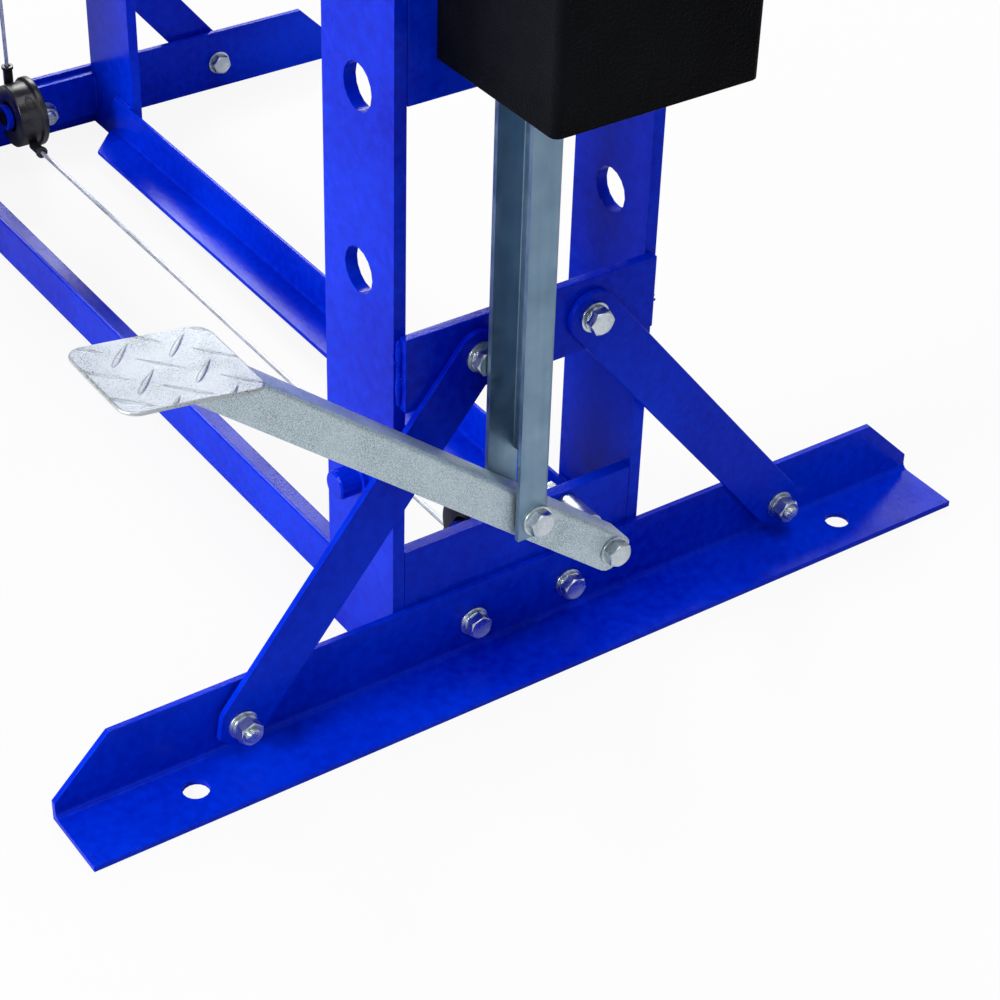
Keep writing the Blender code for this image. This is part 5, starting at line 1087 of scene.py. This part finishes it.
@dataclass
class CylinderAndRam:
    """Cylinder, ram and nose, turned finely, with the wiper ring and a filler plug."""

    body_radius: float = 0.0575
    collar_radius: float = 0.080
    ram_radius: float = 0.035
    bottom: float = 1.5134
    collar_top: float = 1.5434
    top: float = 1.815

    def build(self) -> None:
        """Turns the three pieces about the Z axis."""
        inner, lid, radius = self.ram_radius + 0.0001, self.top - 0.03, self.ram_radius
        outline = [
            (0, self.top), (self.body_radius, self.top), (self.body_radius, self.collar_top),
            (self.collar_radius, self.collar_top), (self.collar_radius, self.bottom), (inner, self.bottom),
            (inner, lid), (0, lid),
        ]
        near, far = 0.0352, 0.043
        ring = [(near, 1.5110), (near, self.bottom), (far, self.bottom), (far, 1.5120), (near, 1.5110)]
        body = Shape.of(turned(outline, 128, 0.003), lathe(ring, 96))
        FastenerStack((0.030, 0.0, self.top), (0, 0, 1), sprung=False).add_to(body)
        body.piece("cylinder_shown", "frame", BLACK, "cylinder_body")
        ram = turned(rod(radius, 1.773, 1.4583), 96, 0.002, 3)
        Shape.of(ram).piece("ram_shown", "ram_assembly", CHROME, "ram")
        nose = turned(rod(0.042, 1.458, 1.430), 96, 0.003)
        groove = [(0.0421, 1.4430), (0.0421, 1.4450), (0.041, 1.4450), (0.041, 1.4430), (0.0421, 1.4430)]
        Shape.of(nose, lathe(groove, 96)).piece("nose_shown", "ram_assembly", STEEL, "ram_nose")


@dataclass
class Bed:
    """Bed, its blocks and its pins."""

    pin_x: float = BOLT_LINE_X
    pin_z: float = 0.755
    weld_x: float = 0.325
    weld_y: float = 0.0585
    weld_heights: Point = (0.7925, 0.9105)

    def pin(self, side: int) -> Grid:
        """Turned pin from its grip in front to its tail behind."""
        front, tail = -0.1549, 0.1266
        outline = [
            (0, front), (0.013, front), (0.013, -0.1209), (0.023, -0.1209), (0.023, -0.1129),
            (0.016, -0.1129), (0.016, tail), (0, tail),
        ]
        return turned(outline, 64, 0.0022, 4, (side * self.pin_x, 0, self.pin_z), (0, 1, 0))

    def build(self) -> None:
        """Rounds the bed and its blocks and turns the pins."""
        rounding = EdgeRounding()
        rounding.soften("bed_frame", 0.0016)
        for side in Sides:
            name = side.name.lower()
            rounding.soften("support_block_" + name, 0.0018)
            pin = Shape.of(self.pin(side.value))
            pin.piece("pin_shown_" + name, "pin_" + name, BOLT_ZINC, "bed_pin_" + name)
        welds = Shape()
        for x, end, z in product((-self.weld_x, self.weld_x), (-1, 1), self.weld_heights):
            y = end * self.weld_y
            WeldBead((x - 0.006, y, z), (x + 0.006, y, z), 0.0024, drops=0).add_to(welds)
        welds.piece("bed_welds", "bed", BLUE, sharp=60)


@dataclass
class Gauge:
    """Dial gauge: case with its bezel, enamel dial and marks; the needle keeps its CAD mesh."""

    centre: Point = (0.180, -0.1026, 1.655)
    marks: int = 51
    sweep: float = math.radians(270)

    def case(self) -> Grid:
        """Turned case with a rolled bezel, from the stem behind to the dish in front."""
        outline = [
            (0, 0.0338), (0.0438, 0.0338), (0.0440, 0.0458), (0.050, 0.0458), (0.050, 0.010), (0.015, 0.010),
            (0.015, 0.0), (0, 0.0),
        ]
        return turned(outline, 96, 0.0018, 4, self.centre, (0, -1, 0))

    def scale(self) -> Shape:
        """Marks of the dial: short boxes on a circle, every tenth one long and wide."""
        shape = Shape()
        for step in range(self.marks):
            angle = math.radians(225) - self.sweep * step / (self.marks - 1)
            major, middle = step % 10 == 0, step % 5 == 0
            inner = 0.0315 if major else 0.0340 if middle else 0.0355
            half = 0.0007 if major else 0.00035
            ring = np.array([(-half, inner), (half, inner), (half, 0.0385), (-half, 0.0385)])
            turn = angle - math.pi / 2
            flat = ring @ np.array([[math.cos(turn), math.sin(turn)], [-math.sin(turn), math.cos(turn)]])
            levels = rod(1, 0.0339, 0.0341)
            mid = flat.mean(axis=0)
            rows = [np.column_stack([mid + (flat - mid) * part, np.full(4, level)]) for part, level in levels]
            shape.add(placed(np.stack(rows), self.centre, (0, -1, 0), math.pi))
        return shape

    def build(self) -> None:
        """Makes the case, the dial and its marks."""
        Shape.of(self.case()).piece("gauge_case", "frame", BLACK, "gauge_body")
        profile = rod(0.0432, 0.0336, 0.0340)
        Shape.of(turned(profile, 96, spot=self.centre, way=(0, -1, 0))).piece("gauge_dial", "frame", DIAL)
        self.scale().piece("gauge_marks", "frame", INK)


@dataclass
class Rope:
    """Six-strand wire rope over the pulleys and round the drum."""

    radius: float = 0.0020
    strands: int = 6
    lay: float = 0.026
    step: float = 0.0016
    drum: Point = (-0.4568, WINCH_HEIGHT)
    drum_pitch: float = 0.0062
    drum_turns: int = 2
    bed_travel: float = 0.280

    def arc(self, centre: Point, radius: float, start: float, end: float) -> Grid:
        """Points of a circle in the XZ plane, from start to end."""
        turn = np.linspace(start, end, 40)
        x, z = centre[0] + radius * np.cos(turn), centre[1] + radius * np.sin(turn)
        return np.stack([x, 0 * turn, z], axis=-1)

    def winding(self, start: float, y_start: float) -> Grid:
        """Turns round the drum: a helix whose last point leaves the drum at the start angle."""
        back = np.linspace(self.drum_turns, 0, 48 * self.drum_turns)
        turn = start - TAU * back
        y = y_start + math.copysign(self.drum_pitch, y_start) * back
        x = self.drum[0] + WHEEL_RADIUS * np.cos(turn)
        return np.stack([x, y, self.drum[1] + WHEEL_RADIUS * np.sin(turn)], axis=-1)

    def even(self, route: Grid) -> Grid:
        """The route again, at even steps along its length."""
        legs = np.linalg.norm(np.diff(route, axis=0), axis=1)
        route = route[np.concatenate([[True], legs > 1e-6])]
        length = np.concatenate([[0], np.cumsum(np.linalg.norm(np.diff(route, axis=0), axis=1))])
        spots = np.linspace(0, length[-1], max(8, int(length[-1] / self.step)))
        return np.stack([np.interp(spots, length, route[:, axis]) for axis in range(3)], axis=-1)

    def twisted(self, route: Grid) -> Grid:
        """Stranded tube: radius = size (0.84 + 0.16 |cos a|).

        The angle a is half the strand count times the angle round the tube less that of the lay.
        """
        path = self.even(route)
        turn = angles(24)[None]
        phase = TAU * np.arange(len(path))[:, None] * self.step / self.lay
        radius = self.radius * (0.84 + 0.16 * np.abs(np.cos(self.strands / 2 * (turn - phase))))
        return swept(path, radius, (0, 1, 0), 24)

    def build(self) -> None:
        """Lays the four stretches of rope, which stand for the CAD's plain tubes."""
        quarter = math.pi / 2
        low_left = (-LOW_WHEEL[0], LOW_WHEEL[1])
        under = np.concatenate([
            self.winding(0, -self.drum_pitch / 2),
            self.arc(low_left, WHEEL_RADIUS, 2 * quarter, 3 * quarter),
            self.arc(LOW_WHEEL, WHEEL_RADIUS, 3 * quarter, 4 * quarter),
            self.arc(HIGH_RIGHT_WHEEL, WHEEL_RADIUS, 0, 2 * quarter),
        ])
        over = np.concatenate([
            self.winding(math.pi, self.drum_pitch / 2),
            self.arc(HIGH_LEFT_WHEEL, LEFT_WHEEL_RADIUS, 2 * quarter, 0),
        ])
        for name, route in (("rope_under", under), ("rope_over", over)):
            Shape.of(self.twisted(route)).piece(name + "_laid", "frame", ROPE_ZINC, name, 70)
        for name in ("rope_drop_right", "rope_drop_left"):
            low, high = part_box(name)
            x = (low[0] + high[0]) / 2
            grid = self.twisted(np.array([(x, 0, low[2]), (x, 0, high[2])]))
            item = Shape.of(grid).piece(name + "_laid", "bed", ROPE_ZINC, name, 70)
            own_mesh(item)


@dataclass
class Pulleys:
    """Grooved wheels, their guards and their axles."""

    guard_radius: float = 0.031
    guard_half: float = 0.0135
    ring_radius: float = 0.0345
    ring_width: float = 0.0065
    eye: float = 0.015
    wall: float = 0.0022
    nozzle: float = 0.00475
    nozzle_lip: float = 0.0058
    nozzle_reach: float = 0.041
    window_angle: float = math.radians(44)
    window: Point = (0.0036, 0.0062)
    nozzle_start: float = 0.021
    nozzle_bore: float = 0.00275

    def guard(self, side: int) -> Shape:
        """Turned shell of the guard with its two rope nozzles."""
        outer, half, ring = self.guard_radius, self.guard_half, self.ring_radius
        outline = [
            (self.eye, half - self.wall / 2), (self.eye, half), (outer, half),
            (outer, -half + self.ring_width), (ring, -half + self.ring_width), (ring, -half),
            (self.eye, -half), (self.eye, -half + self.wall),
            (outer - self.wall, -half + self.wall), (outer - self.wall, half - self.wall),
            (self.eye, half - self.wall), (self.eye, half - self.wall / 2),
        ]
        centre = np.array([side * LOW_WHEEL[0], 0, LOW_WHEEL[1]])
        shape = Shape.of(turned(outline, 96, 0.0016, 3, centre, (0, -1, 0)))
        start, bore, lip, reach = self.nozzle_start, self.nozzle_bore, self.nozzle_lip, self.nozzle_reach
        tube = [
            (bore, start), (self.nozzle, start), (self.nozzle, reach - 0.004), (lip, reach - 0.003),
            (lip, reach), (bore, reach), (bore, start),
        ]
        exits = (((0, 0, -WHEEL_RADIUS), (-side, 0, 0)), ((side * WHEEL_RADIUS, 0, 0), (0, 0, 1)))
        for offset, way in exits:
            shape.add(turned(tube, 40, 0.0006, 2, centre + offset, way))
        shape.add(self.window_rim(centre, side))
        return shape

    def window_rim(self, centre: Grid, side: int) -> Grid:
        """Raised rim of the window in the guard's side: an oval ring laid on the round shell.

        Point(i, t) = rim_i times (across cos t, round sin t), lifted onto the shell's circle.
        """
        rim = np.array([
            (0.0, 0.0002), (0.78, 0.0002), (0.86, 0.0011), (1.10, 0.0011), (1.24, 0.0), (1.0, -0.0010)
        ])
        turn = angles(40)
        along = rim[:, :1] * self.window[0] * np.cos(turn)
        bow = rim[:, :1] * self.window[1] * np.sin(turn) / self.guard_radius
        reach = self.guard_radius + rim[:, 1:]
        angle = self.window_angle + bow
        points = np.stack([side * -reach * np.cos(angle), along, reach * np.sin(angle)], axis=-1)
        return centre + points

    def wheel(self, x: float, z: float, radius: float) -> Grid:
        """Grooved wheel: a turned section whose groove is half a circle for the rope."""
        lip, half, hub, bore, boss = radius + 0.0022, 0.006, 0.009, 0.0081, 0.011
        turn = np.linspace(0, math.pi, 9)
        groove = [(radius - 0.0023 * math.sin(t) + 0.0005, 0.0026 * math.cos(t)) for t in turn]
        outline = [(bore, 0), (bore, hub), (boss, hub), (boss, half), (lip, half), *groove, (lip, -half),
                   (boss, -half), (boss, -hub), (bore, -hub), (bore, 0)]
        return turned(outline, 96, 0.0006, 2, (x, 0, z), (0, -1, 0))

    def build(self) -> None:
        """Makes the guards and wheels and rounds the axles."""
        for side in Sides:
            name = side.name.lower()
            self.guard(side.value).piece("guard_shown_" + name, "frame", PLASTIC, "pulley_guard_" + name)
            wheel = Shape.of(self.wheel(side.value * LOW_WHEEL[0], LOW_WHEEL[1], WHEEL_RADIUS))
            wheel.piece("low_wheel_" + name, "sheave_low_" + name, PLASTIC, "low_pulley_" + name)
            EdgeRounding().soften_all(**{"low_axle_" + name: 0.0005, "high_axle_" + name: 0.0005})
        high = (("right", HIGH_RIGHT_WHEEL, WHEEL_RADIUS), ("left", HIGH_LEFT_WHEEL, LEFT_WHEEL_RADIUS))
        for name, spot, radius in high:
            wheel = Shape.of(self.wheel(*spot, radius))
            wheel.piece("high_wheel_" + name, "sheave_high_" + name, PLASTIC, "high_pulley_" + name)


@dataclass
class Winch:
    """Winch frame, drum and crank with its grip."""

    grip_radius: float = 0.0129
    grip_length: float = 0.085
    grip_inset: float = 0.013

    def build(self) -> None:
        """Rounds the frame, the crank and the drum and adds the grip.

        The grip's radius is size sqrt(1 - (2t - 1)^12) (0.93 + 0.07 sin pi t), with t from end to end.
        """
        EdgeRounding().soften_all(winch_frame=0.0012, winch_crank=0.0010, winch_drum=0.0008)
        t = np.linspace(0, 1, 60)
        round_ends = np.sqrt(np.clip(1 - (2 * t - 1) ** 12, 0, 1))
        radius = self.grip_radius * round_ends * (0.93 + 0.07 * np.sin(math.pi * t))
        outline = np.stack([radius, t * self.grip_length], axis=-1)
        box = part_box("winch_crank")
        spot = (box[0][0] + self.grip_inset, box[0][1] + self.grip_length, WINCH_HEIGHT)
        grip = Shape.of(turned(outline, 48, spot=spot, way=(0, -1, 0)))
        grip.piece("crank_grip", "crank", RUBBER, sharp=60, slot=Slot.BLACK_PLASTIC)


@dataclass
class Studio:
    """Pale floor, soft lamps, plain surroundings and the photograph's camera."""

    camera_spot: Point = (1.6836, -0.8954, 1.2401)
    camera_right: Point = (0.56459586, 0.82493428, 0.02673862)
    camera_up: Point = (-0.50140795, 0.31707715, 0.80501686)
    camera_back: Point = (0.6556078, -0.46791615, 0.59264905)
    lens: float = 90.97
    sensor: float = 36.0
    surround: float = 0.30
    floor_glow: float = 0.90
    floor_fade: Point = (1.2, 3.0)
    floor_tone: Point = (0.6, 0.6, 0.6, 1)

    def camera(self) -> None:
        """Places the camera, whose axes are the columns of its turn."""
        data = bpy.data.cameras.new("camera")
        data.lens, data.sensor_width, data.sensor_fit = self.lens, self.sensor, "HORIZONTAL"
        data.clip_end = 60.0
        eye = linked("camera", data)
        turn = np.stack([self.camera_right, self.camera_up, self.camera_back], axis=1)
        eye.matrix_world = Matrix.Translation(self.camera_spot) @ Matrix(turn.tolist()).to_4x4()
        bpy.context.scene.camera = eye

    def lamp(self, name: str, spot: Point, aim: Point, size: float, power: float) -> None:
        """One square soft lamp that faces its aim."""
        data = bpy.data.lights.new(name, "AREA")
        data.shape, data.size, data.energy = "SQUARE", size, power
        lamp = linked(name, data)
        away = unit(np.asarray(spot) - np.asarray(aim))
        side = unit(np.cross((0, 0, 1), away))
        turn = np.stack([side, np.cross(away, side), away], axis=1)
        lamp.matrix_world = Matrix.Translation(spot) @ Matrix(turn.tolist()).to_4x4()

    def surroundings(self) -> None:
        """White where the camera looks, softer for the light and the reflections that it gives."""
        world = bpy.data.worlds.new("studio")
        world.use_nodes = True
        bpy.context.scene.world = world
        tree = world.node_tree
        tree.nodes.clear()
        path = tree.nodes.new("ShaderNodeLightPath")
        level = tree.nodes.new("ShaderNodeMapRange")
        level.inputs["To Min"].default_value = self.surround
        tree.links.new(path.outputs["Is Camera Ray"], level.inputs["Value"])
        sky = tree.nodes.new("ShaderNodeBackground")
        sky.inputs[0].default_value = (1, 1, 1, 1)
        tree.links.new(level.outputs[0], sky.inputs[1])
        tree.links.new(sky.outputs[0], tree.nodes.new("ShaderNodeOutputWorld").inputs[0])

    def floor(self) -> None:
        """Wide pale floor that keeps a faint shadow."""
        turn = angles(96)
        reach = np.array([0.0, 1.0, 3.0, 12.0])[:, None]
        grid = polar(reach, turn, 0 * reach * turn - 0.0002)
        mesh = bpy.data.meshes.new("floor")
        shape = Shape.of(grid)
        mesh.from_pydata(np.concatenate(shape.points), [], np.concatenate(shape.faces).tolist())
        if mesh.polygons[100].normal.z < 0:
            mesh.flip_normals()
        ground = linked("floor", mesh)
        ground.data.materials.append(self.floor_material())

    def floor_material(self) -> Material:
        """Matt, and lifted to white for the camera, wholly so away from the press."""
        graph = Graph("floor_white")
        tree = graph.tree
        graph.set(Base_Color=self.floor_tone, Roughness=0.9, Specular_IOR_Level=0.1)
        path = tree.nodes.new("ShaderNodeLightPath")
        glow = graph.node("ShaderNodeEmission", {"Color": (1, 1, 1, 1), "Strength": 1.0})
        distance = graph.node("ShaderNodeVectorMath", {0: graph.place}, operation="LENGTH").outputs["Value"]
        rising = graph.between(distance, *self.floor_fade, self.floor_glow, 1.0)
        share = graph.sum(path.outputs["Is Camera Ray"], rising, "MULTIPLY")
        blend = graph.node("ShaderNodeMixShader", {0: share, 1: graph.shader.outputs[0], 2: glow.outputs[0]})
        output = next(node for node in tree.nodes if node.type == "OUTPUT_MATERIAL")
        tree.links.new(blend.outputs[0], output.inputs[0])
        return graph.material

    def build(self) -> None:
        """Sets the camera, the lamps, the floor and the colour view."""
        self.camera()
        self.surroundings()
        self.floor()
        self.lamp("front_lamp", (0.5, -3.2, 1.7), (0.4, 0, 0.3), 1.5, 135.0)
        self.lamp("top_lamp", (0.9, 0.3, 4.2), (0.2, 0, 0.3), 2.6, 85.0)
        self.lamp("side_lamp", (4.2, 0.6, 1.4), (0.3, 0, 0.5), 1.8, 15.0)
        self.lamp("rear_lamp", (-3.15, 1.48, 2.33), (0, 0, 0.1), 1.45, 105.0)
        self.lamp("far_lamp", (-1.7, 2.8, 2.3), (0.5, 0.3, 0.0), 0.9, 16.0)
        bpy.context.scene.view_settings.view_transform = "Standard"


def carry_over() -> None:
    """Gives every CAD node that still shows its own finish."""
    slots = node_slots()
    for node, item in frame["nodes"].items():
        if not item.hide_render:
            item.data.materials.clear()
            item.data.materials.append(SLOT_FINISH[slots[node]].material())
            LOG.info("%s keeps its CAD mesh", node)


def main() -> None:
    """Builds the press, part by part, and its studio."""
    logging.basicConfig(level=logging.INFO, format="%(message)s")
    makers: Iterable[Callable[[], None]] = (
        FrameSides().build, TreadPlate().build, PedalLinkage().build, Pump().build, CylinderAndRam().build,
        Bed().build, Gauge().build, Rope().build, Pulleys().build, Winch().build, carry_over, Studio().build,
    )
    for make in makers:
        make()


if __name__ == "__main__":
    main()
